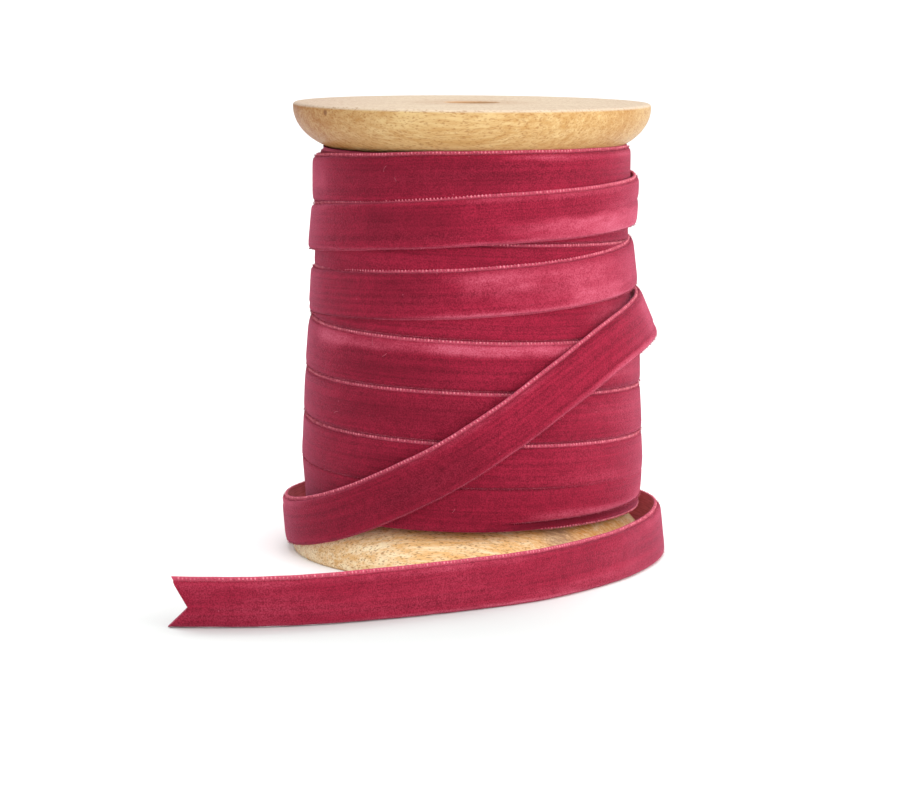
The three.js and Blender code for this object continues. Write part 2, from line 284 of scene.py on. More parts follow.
# Lengthwise creases: the strength is how far the pile side sinks, in millimetres
OUTER_CREASES: tuple[Mark, ...] = (
    Mark(-442, -352, 0.0, 0.55, 0.32),
    Mark(-905, -860, -3.4, 0.5, 0.20),
    Mark(-690, -610, 1.4, 0.6, 0.25),
)
UNDER_CREASES: tuple[Mark, ...] = (
    Mark(1274, 1400, 3.2, 0.38, 0.60),
    Mark(1640, 1720, 7.6, 0.5, 0.25),
    Mark(2330, 2420, 7.0, 0.5, 0.22),
    Mark(2770, 2900, 1.6, 0.6, 0.30),
)
LOOSE_CREASES: tuple[Mark, ...] = (
    Mark(-52, 4, -2.9, 0.6, 0.28),
    Mark(-475, -430, -3.2, 0.6, 0.16),
    Mark(-205, -150, 3.0, 0.6, 0.20),
)


def through(values: np.ndarray, at: np.ndarray) -> np.ndarray:
    """Reads an evenly spaced row of values smoothly between them.

    Args:
        values: The row of values.
        at: Places along the row, 0 at the first value and 1 at the second.

    Returns:
        The value at each place.
    """
    last = len(values) - 1
    low = np.clip(np.floor(at).astype(int), 0, last - 1)
    t = np.clip(at, 0, last) - low
    before, after = values[np.maximum(low - 1, 0)], values[np.minimum(low + 2, last)]
    here, there = values[low], values[low + 1]
    slope_in, slope_out = (there - before) / 2, (after - here) / 2
    cubic = (2 * here - 2 * there + slope_in + slope_out) * t**3
    square = (-3 * here + 3 * there - 2 * slope_in - slope_out) * t**2
    return cubic + square + slope_in * t + here


def drift(at: np.ndarray, pitch: float, seed: float) -> np.ndarray:
    """Slow even wandering between -1 and 1.

    Args:
        at: Places along a run, in millimetres.
        pitch: Usual length of one wave, in millimetres.
        seed: Which of many such wanderings.

    Returns:
        The wandering at each place.
    """
    return np.array([noise.noise(Vector((x / pitch, seed, 0.37 * seed))) for x in at])


def marked(marks: Sequence[Mark], degrees: np.ndarray, across: np.ndarray) -> np.ndarray:
    """Adds up soft-edged marks.

    Args:
        marks: The marks of one run of ribbon.
        degrees: Angle along the run at each point.
        across: Place across the ribbon at each point, in millimetres.

    Returns:
        The sum of the marks at each point.
    """
    total = np.zeros(np.broadcast(degrees, across).shape)
    for mark in marks:
        middle, half = (mark.start + mark.end) / 2, (mark.end - mark.start) / 2
        run = np.clip(1.25 - (np.abs(degrees - middle) / half) ** 2, 0, 1)
        total += mark.strength * run * np.exp(-np.abs((across - mark.across) / mark.spread) ** 3)
    return total


@dataclass
class MeshDraft:
    """Mesh being made: points with their attributes, faces with their coordinates, and sharp rims."""

    points: list[Point] = field(default_factory=list)
    faces: list[tuple[int, ...]] = field(default_factory=list)
    corners: list[tuple[float, float]] = field(default_factory=list)
    slots: list[int] = field(default_factory=list)
    woven: list[float] = field(default_factory=list)
    crush_and_painted_light: list[float] = field(default_factory=list)
    rims: list[tuple[int, ...]] = field(default_factory=list)

    def point(self, place: Sequence[float], woven: float = 0.0, crush_and_painted_light: float = 0.0) -> int:
        """Adds a point.

        Args:
            place: Where it is, in millimetres.
            woven: 1 on the bare woven edge and 0 on the pile.
            crush_and_painted_light: Above 0, pile laid flat and paler, and painted light; below 0, pile
                standing up darker, and painted shade.

        Returns:
            The point's number.
        """
        self.points.append((place[0] * MM, place[1] * MM, place[2] * MM))
        self.woven.append(woven)
        self.crush_and_painted_light.append(crush_and_painted_light)
        return len(self.points) - 1

    def face(
        self, ring: Sequence[int], uv: Sequence[tuple[float, float]] = (), slot: int = 0
    ) -> None:
        """Adds a face, leaving out repeated points.

        Args:
            ring: Point numbers, seen from outside in turn to the left.
            uv: Coordinates of each corner, in centimetres along and across the ribbon, if it has any.
            slot: Number of the face's material.
        """
        kept = [k for k in range(len(ring)) if ring[k] != ring[k - 1]]
        if len(kept) < 3:
            return
        self.faces.append(tuple(ring[k] for k in kept))
        self.corners.extend(uv[k] for k in kept if uv)
        self.slots.append(slot)

    def build(self, name: str, materials: Sequence[bpy.types.Material]) -> bpy.types.Object:
        """Makes the object, with smooth faces, its coordinates and its attributes.

        Args:
            name: The object's name.
            materials: Its materials, by slot number.

        Returns:
            The object, linked to the scene.
        """
        mesh = bpy.data.meshes.new(name)
        mesh.from_pydata(self.points, [], self.faces)
        if self.corners:
            layer = mesh.uv_layers.new(name="UVMap")
            layer.data.foreach_set("uv", np.array(self.corners, dtype=np.float32).ravel())
        for attribute, values in ((Field.WOVEN, self.woven), (Field.CRUSH_AND_PAINTED_LIGHT, self.crush_and_painted_light)):
            made = mesh.attributes.new(attribute.value, "FLOAT", "POINT")
            made.data.foreach_set("value", np.array(values, dtype=np.float32))
        for material in materials:
            mesh.materials.append(material)
        mesh.polygons.foreach_set("material_index", self.slots)
        mesh.polygons.foreach_set("use_smooth", [True] * len(self.faces))
        mesh.validate(clean_customdata=False)
        mesh.update()
        sharp = {tuple(sorted(pair)) for rim in self.rims for pair in zip(rim, (*rim[1:], rim[0]))}
        if sharp:
            for edge in mesh.edges:
                edge.use_edge_sharp = tuple(sorted(edge.vertices)) in sharp
        piece = bpy.data.objects.new(name, mesh)
        bpy.context.scene.collection.objects.link(piece)
        return piece


@dataclass
class EdgeLine:
    """Line along a ribbon, with the directions that what stands on it takes."""

    places: list[np.ndarray] = field(default_factory=list)
    outward: list[np.ndarray] = field(default_factory=list)
    upward: list[np.ndarray] = field(default_factory=list)

    def add(self, place: np.ndarray, outward: np.ndarray, upward: np.ndarray) -> None:
        """Adds a point to the line.

        Args:
            place: The point, in millimetres.
            outward: Direction away from the axis.
            upward: Direction in which what stands on the line points.
        """
        self.places.append(place)
        self.outward.append(outward)
        self.upward.append(upward)


# Shader helpers


@dataclass
class ShaderSheet:
    """Short calls for laying out the nodes of one tree."""

    tree: bpy.types.NodeTree

    def node(self, kind: str, **settings: object) -> bpy.types.Node:
        """Adds a node and gives it its settings.

        Args:
            kind: The node's type.
            settings: Properties of the node.

        Returns:
            The node.
        """
        made = self.tree.nodes.new(kind)
        for name, value in settings.items():
            setattr(made, name, value)
        return made

    def fill(self, socket: bpy.types.NodeSocket, value: object) -> None:
        """Fills one input.

        Args:
            socket: The input.
            value: A value, or another node's output.
        """
        if isinstance(value, bpy.types.NodeSocket):
            self.tree.links.new(value, socket)
        else:
            socket.default_value = value

    def set(self, node: bpy.types.Node, **values: object) -> bpy.types.Node:
        """Fills a node's inputs by name.

        Args:
            node: The node.
            values: Input name, with underscores for spaces, and what it takes.

        Returns:
            The same node.
        """
        for name, value in values.items():
            self.fill(node.inputs[name.replace("_", " ")], value)
        return node

    def group(self, effect: bpy.types.NodeTree, **values: object) -> bpy.types.Node:
        """Places one of the shared effects with its own values."""
        return self.set(self.node("ShaderNodeGroup", node_tree=effect), **values)

    def coordinates(self, kind: str) -> bpy.types.NodeSocket:
        """Gives one of the outputs of Texture Coordinate."""
        return self.node("ShaderNodeTexCoord").outputs[kind]

    def split(self, vector: bpy.types.NodeSocket) -> bpy.types.NodeOutputs:
        """Splits a vector into its X, Y and Z."""
        return self.set(self.node("ShaderNodeSeparateXYZ"), Vector=vector).outputs

    def clouds(self, vector: bpy.types.NodeSocket, **values: object) -> bpy.types.NodeSocket:
        """Adds a noise texture on the given coordinates and gives its value."""
        return self.set(self.node("ShaderNodeTexNoise"), Vector=vector, **values).outputs["Fac"]

    def vectors(self, operation: str, first: object, second: object) -> bpy.types.NodeOutputs:
        """Does sums on two vectors.

        Args:
            operation: The kind of sum.
            first: The first vector or output.
            second: The second vector or output.

        Returns:
            The outputs, of which Vector or Value holds the result.
        """
        made = self.node("ShaderNodeVectorMath", operation=operation)
        self.fill(made.inputs[0], first)
        self.fill(made.inputs[1], second)
        return made.outputs

    def bump(self, height: bpy.types.NodeSocket, strength: float, depth: float) -> bpy.types.NodeSocket:
        """Turns a height into a normal.

        Args:
            height: The height, from 0 to 1.
            strength: How much of the bump is used.
            depth: What a height of 1 stands for, in metres.

        Returns:
            The normal.
        """
        made = self.set(self.node("ShaderNodeBump"), Height=height, Strength=strength, Distance=depth)
        return made.outputs["Normal"]

    def math(self, operation: str, first: object, second: object = 0.0) -> bpy.types.NodeSocket:
        """Does sums on one or two values.

        Args:
            operation: The kind of sum.
            first: The first value or output.
            second: The second value or output.

        Returns:
            The result.
        """
        made = self.node("ShaderNodeMath", operation=operation)
        self.fill(made.inputs[0], first)
        self.fill(made.inputs[1], second)
        return made.outputs[0]

    def times(self, first: object, second: object) -> bpy.types.NodeSocket:
        """Multiplies two values."""
        return self.math("MULTIPLY", first, second)

    def plus(self, first: object, second: object) -> bpy.types.NodeSocket:
        """Adds two values."""
        return self.math("ADD", first, second)

    def mean(self, first: object, second: object, share: float) -> bpy.types.NodeSocket:
        """Adds two values in shares that make one, the given share for the first."""
        return self.plus(self.times(first, share), self.times(second, 1.0 - share))

    def blend(self, factor: object, below: object, above: object) -> bpy.types.NodeSocket:
        """Mixes two colours.

        Args:
            factor: 0 for the first colour and 1 for the second.
            below: The first colour.
            above: The second colour.

        Returns:
            The mixed colour.
        """
        made = self.node("ShaderNodeMix", data_type="RGBA")
        for index, value in ((0, factor), (6, below), (7, above)):
            self.fill(made.inputs[index], (*value, 1.0) if isinstance(value, tuple) else value)
        return made.outputs[2]

    def spread(self, value: object, low: float, high: float) -> bpy.types.NodeSocket:
        """Stretches a value, with soft ends.

        Args:
            value: The value or output.
            low: What becomes 0.
            high: What becomes 1.

        Returns:
            The stretched value.
        """
        made = self.node("ShaderNodeMapRange", interpolation_type="SMOOTHSTEP")
        self.set(made, Value=value, From_Min=low, From_Max=high)
        return made.outputs["Result"]

    def field(self, name: Field) -> bpy.types.NodeSocket:
        """Reads one of the mesh's point attributes."""
        made = self.node("ShaderNodeAttribute", attribute_name=name.value)
        return made.outputs["Fac"]


def linear(red: int, green: int, blue: int) -> Colour:
    """Turns a screen colour into linear light.

    Args:
        red: Its red, from 0 to 255.
        green: Its green, from 0 to 255.
        blue: Its blue, from 0 to 255.

    Returns:
        The colour, from 0 to 1.
    """
    shares = [value / 255 for value in (red, green, blue)]
    return tuple(v / 12.92 if v <= 0.04045 else ((v + 0.055) / 1.055) ** 2.4 for v in shares)


def new_group(
    name: str, inputs: Sequence[tuple[str, str, object]], outputs: Sequence[tuple[str, str]]
) -> tuple[bpy.types.NodeTree, ShaderSheet, bpy.types.Node, bpy.types.Node]:
    """Starts a shader node group with named sockets.

    Args:
        name: The group's name.
        inputs: Name, socket type and default value of each input.
        outputs: Name and socket type of each output.

    Returns:
        The tree, its sheet, its input node and its output node.
    """
    tree = bpy.data.node_groups.new(name, "ShaderNodeTree")
    for label, kind, value in inputs:
        socket = tree.interface.new_socket(label, in_out="INPUT", socket_type=kind)
        if value is not None:
            socket.default_value = value
    for label, kind in outputs:
        tree.interface.new_socket(label, in_out="OUTPUT", socket_type=kind)
    sheet = ShaderSheet(tree)
    return tree, sheet, sheet.node("NodeGroupInput"), sheet.node("NodeGroupOutput")


@dataclass(frozen=True)
class SharedEffects:
    """Node groups that more than one finish uses."""

    pile: bpy.types.NodeTree
    streaks: bpy.types.NodeTree
    grain: bpy.types.NodeTree
    specks: bpy.types.NodeTree

    @classmethod
    def make(cls) -> SharedEffects:
        """Builds the groups once."""
        return cls(cls.make_pile(), cls.make_streaks(), cls.make_grain(), cls.make_specks())

    @staticmethod
    def make_pile() -> bpy.types.NodeTree:
        """Fine and coarse mottling of a cut pile, from Object coordinates.

        Returns:
            A group with the inputs Tuft and Brushing, in metres, and the outputs Mottle and Height.
        """
        tree, sheet, given, result = new_group(
            "pile_mottle",
            [("Tuft", "NodeSocketFloat", 0.0003), ("Brushing", "NodeSocketFloat", 0.004)],
            [("Mottle", "NodeSocketFloat"), ("Height", "NodeSocketFloat")],
        )
        place = sheet.coordinates("Object")
        tufts = sheet.math("DIVIDE", 1.0, given.outputs["Tuft"])
        fine = sheet.clouds(place, Scale=tufts, Detail=2.0)
        patches = sheet.math("DIVIDE", 1.0, given.outputs["Brushing"])
        coarse = sheet.clouds(place, Scale=patches, Detail=3.0, Distortion=0.4)
        sheet.set(result, Mottle=sheet.spread(sheet.mean(fine, coarse, 0.8), 0.34, 0.66), Height=fine)
        return tree

    @staticmethod
    def make_streaks() -> bpy.types.NodeTree:
        """Long thin streaks that run with the ribbon, from its own coordinates.

        Returns:
            A group with the inputs Along and Across, waves to a centimetre, and the output Streak.
        """
        tree, sheet, given, result = new_group(
            "lengthwise_streaks",
            [("Along", "NodeSocketFloat", 0.35), ("Across", "NodeSocketFloat", 9.0)],
            [("Streak", "NodeSocketFloat")],
        )
        parts = sheet.split(sheet.coordinates("UV"))
        joined = sheet.set(
            sheet.node("ShaderNodeCombineXYZ"),
            X=sheet.times(parts["X"], given.outputs["Along"]),
            Y=sheet.times(parts["Y"], given.outputs["Across"]),
        )
        texture = sheet.clouds(joined.outputs[0], Scale=1.0, Detail=4.0, Roughness=0.6)
        sheet.set(result, Streak=sheet.spread(texture, 0.32, 0.68))
        return tree

    @staticmethod
    def make_grain() -> bpy.types.NodeTree:
        """Solid wood grain whose fibres run along X, from Object coordinates.

        Returns:
            A group with the input Turn, the fibres' angle in radians about the spool's axis, and
            the outputs Bands, Fibre and Pores.
        """
        tree, sheet, given, result = new_group(
            "wood_grain",
            [("Turn", "NodeSocketFloat", 0.0)],
            [("Bands", "NodeSocketFloat"), ("Fibre", "NodeSocketFloat"), ("Pores", "NodeSocketFloat")],
        )
        turned = sheet.node("ShaderNodeVectorRotate", rotation_type="Z_AXIS")
        sheet.set(turned, Vector=sheet.coordinates("Object"), Angle=given.outputs["Turn"])
        parts = sheet.split(turned.outputs[0])

        def stretched(along: float, across: float) -> bpy.types.NodeSocket:
            """Stretches the coordinates with the fibres.

            Args:
                along: Waves to the metre along the fibres.
                across: Waves to the metre across them.

            Returns:
                The stretched coordinates.
            """
            made = sheet.set(
                sheet.node("ShaderNodeCombineXYZ"),
                X=sheet.times(parts["X"], along),
                Y=sheet.times(parts["Y"], across),
                Z=sheet.times(parts["Z"], across),
            )
            return made.outputs[0]

        wide = sheet.clouds(stretched(22, 110), Scale=1.0, Detail=3.0, Distortion=0.5)
        streak = sheet.clouds(stretched(60, 520), Scale=1.0, Detail=4.0, Roughness=0.6, Distortion=0.3)
        fibre = sheet.clouds(stretched(170, 1500), Scale=1.0, Detail=5.0, Roughness=0.7)
        pores = sheet.clouds(stretched(1250, 3300), Scale=1.0, Detail=2.0, Roughness=0.5)
        sheet.set(
            result,
            Bands=sheet.spread(sheet.mean(wide, streak, 0.5), 0.34, 0.66),
            Fibre=sheet.spread(fibre, 0.32, 0.68),
            Pores=sheet.spread(pores, 0.52, 0.68),
        )
        return tree

    @staticmethod
    def make_specks() -> bpy.types.NodeTree:
        """Sparse pale specks of dust and lint, from Object coordinates.

        Returns:
            A group with the input Spacing, in metres, and the output Specks.
        """
        tree, sheet, given, result = new_group(
            "dust_specks", [("Spacing", "NodeSocketFloat", 0.003)], [("Specks", "NodeSocketFloat")]
        )
        cells = sheet.node("ShaderNodeTexVoronoi")
        scale = sheet.math("DIVIDE", 1.0, given.outputs["Spacing"])
        sheet.set(cells, Vector=sheet.coordinates("Object"), Scale=scale)
        near = sheet.math("SUBTRACT", 1.0, sheet.spread(cells.outputs["Distance"], 0.02, 0.06))
        chosen = sheet.node("ShaderNodeSeparateColor")
        sheet.set(chosen, Color=cells.outputs["Color"])
        rare = sheet.math("GREATER_THAN", chosen.outputs[0], 0.72)
        sheet.set(result, Specks=sheet.times(near, rare))
        return tree


# Finishes


@dataclass(frozen=True)
class VelvetPile:
    """Cut pile with its bare woven edges."""

    deep: Colour = linear(93, 11, 30)
    bright: Colour = linear(150, 27, 54)
    # Colours for the marks: the vivid and paler ones partly for pile laid flat and partly painted light,
    # the shaded one partly for pile standing up and partly painted shade.
    vivid: Colour = linear(156, 34, 60)
    pressed_and_painted_light: Colour = linear(188, 93, 114)
    shaded: Colour = linear(80, 6, 24)
    edge: Colour = linear(178, 70, 92)
    tuft: float = 0.00026
    tuft_depth: float = 0.00025
    brushing: float = 0.0022
    speck_spacing: float = 0.0032
    roughness: float = 0.92
    specular: float = 0.15
    sheen: float = 0.45
    sheen_tint: Colour = (1.0, 0.30, 0.48)
    sheen_roughness: float = 0.38

    def lighter(
        self, sheet: ShaderSheet, mottle: bpy.types.NodeSocket, brushed: bpy.types.NodeSocket
    ) -> bpy.types.NodeSocket:
        """Works out how pale the pile is where it is laid flat, where it is brushed and where light is
        painted on it.

        Args:
            sheet: The material's sheet.
            mottle: Fine mottling of the pile.
            brushed: Broad streaks along the ribbon.

        Returns:
            The paleness, up to 0.85.
        """
        broken = sheet.plus(sheet.times(mottle, 0.5), 0.5)
        cloudy = sheet.plus(sheet.times(brushed, 0.8), 0.5)
        flattened_and_painted_light = sheet.math("MAXIMUM", sheet.field(Field.CRUSH_AND_PAINTED_LIGHT), 0.0)
        crushed_and_painted_light = sheet.times(flattened_and_painted_light, sheet.times(broken, cloudy))
        swept = sheet.times(sheet.times(brushed, mottle), 0.12)
        return sheet.math("MINIMUM", sheet.plus(crushed_and_painted_light, swept), 0.85)

    def material(self, effects: SharedEffects) -> bpy.types.Material:
        """Makes the material.

        Args:
            effects: The shared node groups.

        Returns:
            The material.
        """
        made, sheet, shader = start_material("velvet_pile")
        pile = sheet.group(effects.pile, Tuft=self.tuft, Brushing=self.brushing)
        streak = sheet.group(effects.streaks, Along=0.16, Across=14.0).outputs["Streak"]
        brushed = sheet.group(effects.streaks, Along=0.35, Across=1.6).outputs["Streak"]
        specks = sheet.group(effects.specks, Spacing=self.speck_spacing).outputs["Specks"]

        mottle = pile.outputs["Mottle"]
        lighter = self.lighter(sheet, mottle, brushed)
        # Painted light and shade: where the marks stand for light they blend in the vivid and paler
        # colours, and where they stand for shade the shaded colour.
        raised_and_painted_shade = sheet.math("MAXIMUM", sheet.times(sheet.field(Field.CRUSH_AND_PAINTED_LIGHT), -1.0), 0.0)
        base = sheet.blend(sheet.mean(mottle, streak, 0.6), self.deep, self.bright)
        base = sheet.blend(raised_and_painted_shade, base, self.shaded)
        base = sheet.blend(sheet.math("MINIMUM", sheet.times(lighter, 2.2), 1.0), base, self.vivid)
        base = sheet.blend(sheet.spread(lighter, 0.0, 1.05), base, self.pressed_and_painted_light)
        base = sheet.blend(sheet.times(specks, 0.4), base, self.pressed_and_painted_light)
        base = sheet.blend(sheet.field(Field.WOVEN), base, self.edge)
        sheet.set(
            shader,
            Base_Color=base,
            Roughness=self.roughness,
            Normal=sheet.bump(pile.outputs["Height"], 0.6, self.tuft_depth),
            Specular_IOR_Level=self.specular,
            Sheen_Weight=self.sheen,
            Sheen_Roughness=self.sheen_roughness,
            Sheen_Tint=(*self.sheen_tint, 1.0),
        )
        return made


@dataclass(frozen=True)
class VelvetBack:
    """Plain woven back of the ribbon."""

    thread: Colour = linear(236, 124, 144)
    gap: Colour = linear(202, 84, 106)
    roughness: float = 0.7
    specular: float = 0.3
    sheen: float = 0.2
    sheen_tint: Colour = (1.0, 0.5, 0.6)

    def material(self, effects: SharedEffects) -> bpy.types.Material:
        """Makes the material.

        Args:
            effects: The shared node groups.

        Returns:
            The material.
        """
        made, sheet, shader = start_material("velvet_back")
        weave = sheet.group(effects.streaks, Along=2.0, Across=26.0)
        sheet.set(
            shader,
            Base_Color=sheet.blend(weave.outputs["Streak"], self.gap, self.thread),
            Roughness=self.roughness,
            Specular_IOR_Level=self.specular,
            Sheen_Weight=self.sheen,
            Sheen_Tint=(*self.sheen_tint, 1.0),
        )
        return made


@dataclass(frozen=True)
class Yarn:
    """Loose fibres or thread with a fine mottling."""

    name: str
    light: Colour
    shade: Colour
    tuft: float
    brushing: float
    roughness: float
    specular: float = 0.5
    sheen: float = 0.0
    sheen_roughness: float = 0.5
    sheen_tint: Colour = (1.0, 1.0, 1.0)

    def material(self, effects: SharedEffects) -> bpy.types.Material:
        """Makes the material.

        Args:
            effects: The shared node groups.

        Returns:
            The material.
        """
        made, sheet, shader = start_material(self.name)
        pile = sheet.group(effects.pile, Tuft=self.tuft, Brushing=self.brushing)
        sheet.set(
            shader,
            Base_Color=sheet.blend(pile.outputs["Mottle"], self.shade, self.light),
            Roughness=self.roughness,
            Specular_IOR_Level=self.specular,
            Sheen_Weight=self.sheen,
            Sheen_Roughness=self.sheen_roughness,
            Sheen_Tint=(*self.sheen_tint, 1.0),
        )
        return made


PILE_TUFTS = Yarn(
    "pile_tufts",
    light=linear(198, 90, 110),
    shade=linear(142, 36, 58),
    tuft=0.0008,
    brushing=0.006,
    roughness=0.9,
    specular=0.1,
    sheen=0.3,
    sheen_tint=(1.0, 0.45, 0.55),
)
EDGE_THREAD = Yarn(
    "edge_thread",
    light=linear(222, 124, 140),
    shade=linear(166, 60, 80),
    tuft=0.0009,
    brushing=0.009,
    roughness=0.62,
    specular=0.35,
    sheen=0.2,
    sheen_roughness=0.4,
    sheen_tint=(1.0, 0.6, 0.68),
)
STRAY_FIBRE = Yarn(
    "stray_fibre",
    light=linear(186, 104, 120),
    shade=tuple(0.7 * part for part in linear(186, 104, 120)),
    tuft=0.0006,
    brushing=0.006,
    roughness=0.8,
)


@dataclass(frozen=True)
class WoodPatch:
    """Round patch of another colour on the wood: a golden tone, a knot, or a patch of painted shade.

    It is full as far as one distance from its place, and gone at the other, both in metres.
    """

    place: Point
    full: float
    gone: float
    share: float
    colour: Colour

    def mask(self, sheet: ShaderSheet, place: bpy.types.NodeSocket) -> bpy.types.NodeSocket:
        """Gives 1 in the middle of the stain and 0 away from it."""
        away = sheet.vectors("DISTANCE", place, self.place)["Value"]
        return sheet.math("SUBTRACT", 1.0, sheet.spread(away, self.full, self.gone))


@dataclass(frozen=True)
class OiledWood:
    """Pale brown hardwood under a thin satin finish, with Object coordinates in metres."""

    name: str = "oiled_wood"
    light: Colour = linear(202, 173, 122)
    deep: Colour = linear(176, 135, 80)
    shade: Colour = linear(146, 88, 26)
    pore: Colour = linear(132, 80, 36)
    top: Colour = linear(206, 194, 179)
    drilled: Colour = linear(178, 134, 92)
    turn: float = 0.12
    pore_depth: float = 0.48
    # Shares of the browner colour at the sides: end grain, and painted shade, far stronger on the left
    # than on the right
    end_grain_and_shade_left: float = 0.92
    end_grain_and_shade_right: float = 0.28
    top_height: float = 0.0921
    top_share: float = 0.65
    bore_radius: float = 0.0055
    darker_ring_radius: float = 0.017
    # Patches on the foot along the bottom of the winding: the golden one is partly the wood's own tone
    # and partly painted shade, the greyish one is painted shade.
    golden_tone_and_shade: WoodPatch = WoodPatch((0.0250, -0.0185, 0.0087), 0.005, 0.024, 0.85, linear(208, 140, 58))
    grey_painted_shade: WoodPatch = WoodPatch((0.0180, -0.0275, 0.0075), 0.001, 0.0055, 0.75, linear(150, 126, 118))
    knot: WoodPatch = WoodPatch((-0.0289, -0.0224, 0.0912), 0.0003, 0.0008, 0.85, linear(120, 76, 44))
    roughness: float = 0.4
    top_roughness: float = 0.2
    pore_roughness: float = 0.3
    specular: float = 0.14
    coat: float = 0.03
    coat_roughness: float = 0.3

    def end_grain_and_painted_shade(
        self, sheet: ShaderSheet, sideways: bpy.types.NodeSocket, tone: bpy.types.NodeSocket
    ) -> bpy.types.NodeSocket:
        """Works out how much browner the wood is towards both sides: end grain, and painted shade that
        darkens the left side far more than the right.

        Args:
            sheet: The material's sheet.
            sideways: The X coordinate.
            tone: The grain's tone, which the browning follows.

        Returns:
            The share of the browner colour.
        """
        left = sheet.times(sheet.spread(sideways, -0.010, -0.036), self.end_grain_and_shade_left)
        right = sheet.times(sheet.spread(sideways, 0.016, 0.037), self.end_grain_and_shade_right)
        return sheet.times(sheet.plus(left, right), sheet.plus(sheet.times(tone, 0.7), 0.55))

    def patched_and_shaded(
        self, sheet: ShaderSheet, base: bpy.types.NodeSocket, fibre: bpy.types.NodeSocket
    ) -> bpy.types.NodeSocket:
        """Adds the golden and greyish patches, uneven with the fibres, and the knot; the golden one is
        partly painted shade and the greyish one is painted shade.

        Args:
            sheet: The material's sheet.
            base: The colour so far.
            fibre: The grain's fibres.

        Returns:
            The colour with the patches and the knot.
        """
        place = sheet.coordinates("Object")
        uneven = sheet.plus(sheet.times(fibre, 0.7), 0.3)
        for stain in (self.golden_tone_and_shade, self.grey_painted_shade):
            share = sheet.times(sheet.times(stain.mask(sheet, place), uneven), stain.share)
            base = sheet.blend(share, base, stain.colour)
        share = sheet.times(self.knot.mask(sheet, place), self.knot.share)
        return sheet.blend(share, base, self.knot.colour)

    def round_the_bore(
        self, sheet: ShaderSheet, base: bpy.types.NodeSocket, parts: bpy.types.NodeOutputs
    ) -> bpy.types.NodeSocket:
        """Adds a darker ring round the bore and the bore's own darker wall.

        Args:
            sheet: The material's sheet.
            base: The colour so far.
            parts: The X, Y and Z coordinates.

        Returns:
            The colour with both.
        """
        squares = [sheet.math("POWER", parts[axis], 2.0) for axis in ("X", "Y")]
        from_axis = sheet.math("SQRT", sheet.plus(*squares))
        beyond_darker_ring = sheet.spread(from_axis, self.bore_radius + 0.002, self.darker_ring_radius)
        bored = sheet.spread(from_axis, self.bore_radius + 0.0006, self.bore_radius)
        base = sheet.blend(sheet.times(sheet.math("SUBTRACT", 1.0, beyond_darker_ring), 0.2), base, self.shade)
        return sheet.blend(sheet.times(bored, 0.8), base, self.drilled)

    def material(self, effects: SharedEffects) -> bpy.types.Material:
        """Makes the material.

        Args:
            effects: The shared node groups.

        Returns:
            The material.
        """
        made, sheet, shader = start_material(self.name)
        grain = sheet.group(effects.grain, Turn=self.turn).outputs
        parts = sheet.split(sheet.coordinates("Object"))
        tone = sheet.mean(grain["Bands"], grain["Fibre"], 0.55)
        top = sheet.spread(parts["Z"], self.top_height - 0.0003, self.top_height + 0.0002)
        base = sheet.blend(sheet.spread(tone, 0.05, 1.0), self.light, self.deep)
        base = sheet.blend(self.end_grain_and_painted_shade(sheet, parts["X"], tone), base, self.shade)
        base = sheet.blend(sheet.times(top, self.top_share), base, self.top)
        base = sheet.blend(sheet.times(grain["Pores"], self.pore_depth), base, self.pore)
        base = self.patched_and_shaded(sheet, base, grain["Fibre"])
        base = self.round_the_bore(sheet, base, parts)
        relief = sheet.math("SUBTRACT", sheet.times(grain["Fibre"], 0.25), grain["Pores"])
        rough = sheet.plus(sheet.times(top, self.top_roughness), self.roughness)
        rough = sheet.plus(rough, sheet.times(grain["Pores"], self.pore_roughness))
        sheet.set(
            shader,
            Base_Color=base,
            Roughness=rough,
            Normal=sheet.bump(relief, 0.25, 0.00012),
            Specular_IOR_Level=self.specular,
            Coat_Weight=self.coat,
            Coat_Roughness=self.coat_roughness,
        )
        return made


# Paler copy of the wood for the foot: paler wood, and painted light that makes up for the shade of the
# winding over the foot.
LIT_FOOT_WOOD = OiledWood(
    "oiled_wood_foot_painted_light",
    light=linear(255, 240, 202),
    deep=linear(234, 186, 118),
    pore=linear(150, 92, 42),
    pore_depth=0.62,
    end_grain_and_shade_left=0.35,
)


def start_material(name: str) -> tuple[bpy.types.Material, ShaderSheet, bpy.types.Node]:
    """Starts a material with one Principled shader.

    Args:
        name: The material's name.

    Returns:
        The material, its sheet and its shader node.
    """
    made = bpy.data.materials.new(name)
    made.use_nodes = True
    sheet = ShaderSheet(made.node_tree)
    shader = next(n for n in made.node_tree.nodes if n.type == "BSDF_PRINCIPLED")
    return made, sheet, shader


@dataclass(frozen=True)
class Finishes:
    """Every material of the object."""

    pile: bpy.types.Material
    back: bpy.types.Material
    tufts: bpy.types.Material
    thread: bpy.types.Material
    wood: bpy.types.Material
    foot_wood: bpy.types.Material
    fibre: bpy.types.Material

    @classmethod
    def make(cls, effects: SharedEffects) -> Finishes:
        """Makes each finish once.

        Args:
            effects: The shared node groups.

        Returns:
            The finishes.
        """
        return cls(
            pile=VelvetPile().material(effects),
            back=VelvetBack().material(effects),
            tufts=PILE_TUFTS.material(effects),
            thread=EDGE_THREAD.material(effects),
            wood=OiledWood().material(effects),
            foot_wood=LIT_FOOT_WOOD.material(effects),
            fibre=STRAY_FIBRE.material(effects),
        )


def settle(piece: bpy.types.Object, slot: Slot, *nodes: str) -> bpy.types.Object:
    """Hands a finished piece to the frame.

    Args:
        piece: The finished piece.
        slot: The record's material slot; not used.
        nodes: CAD nodes that the piece stands for.

    Returns:
        The same piece.
    """
    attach(piece, BODY)
    if nodes:
        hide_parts(*nodes)
    LOG.info("%s: %d points, %d faces", piece.name, len(piece.data.vertices), len(piece.data.polygons))
    return piece


# Edge loops and pile tips, made with Geometry Nodes


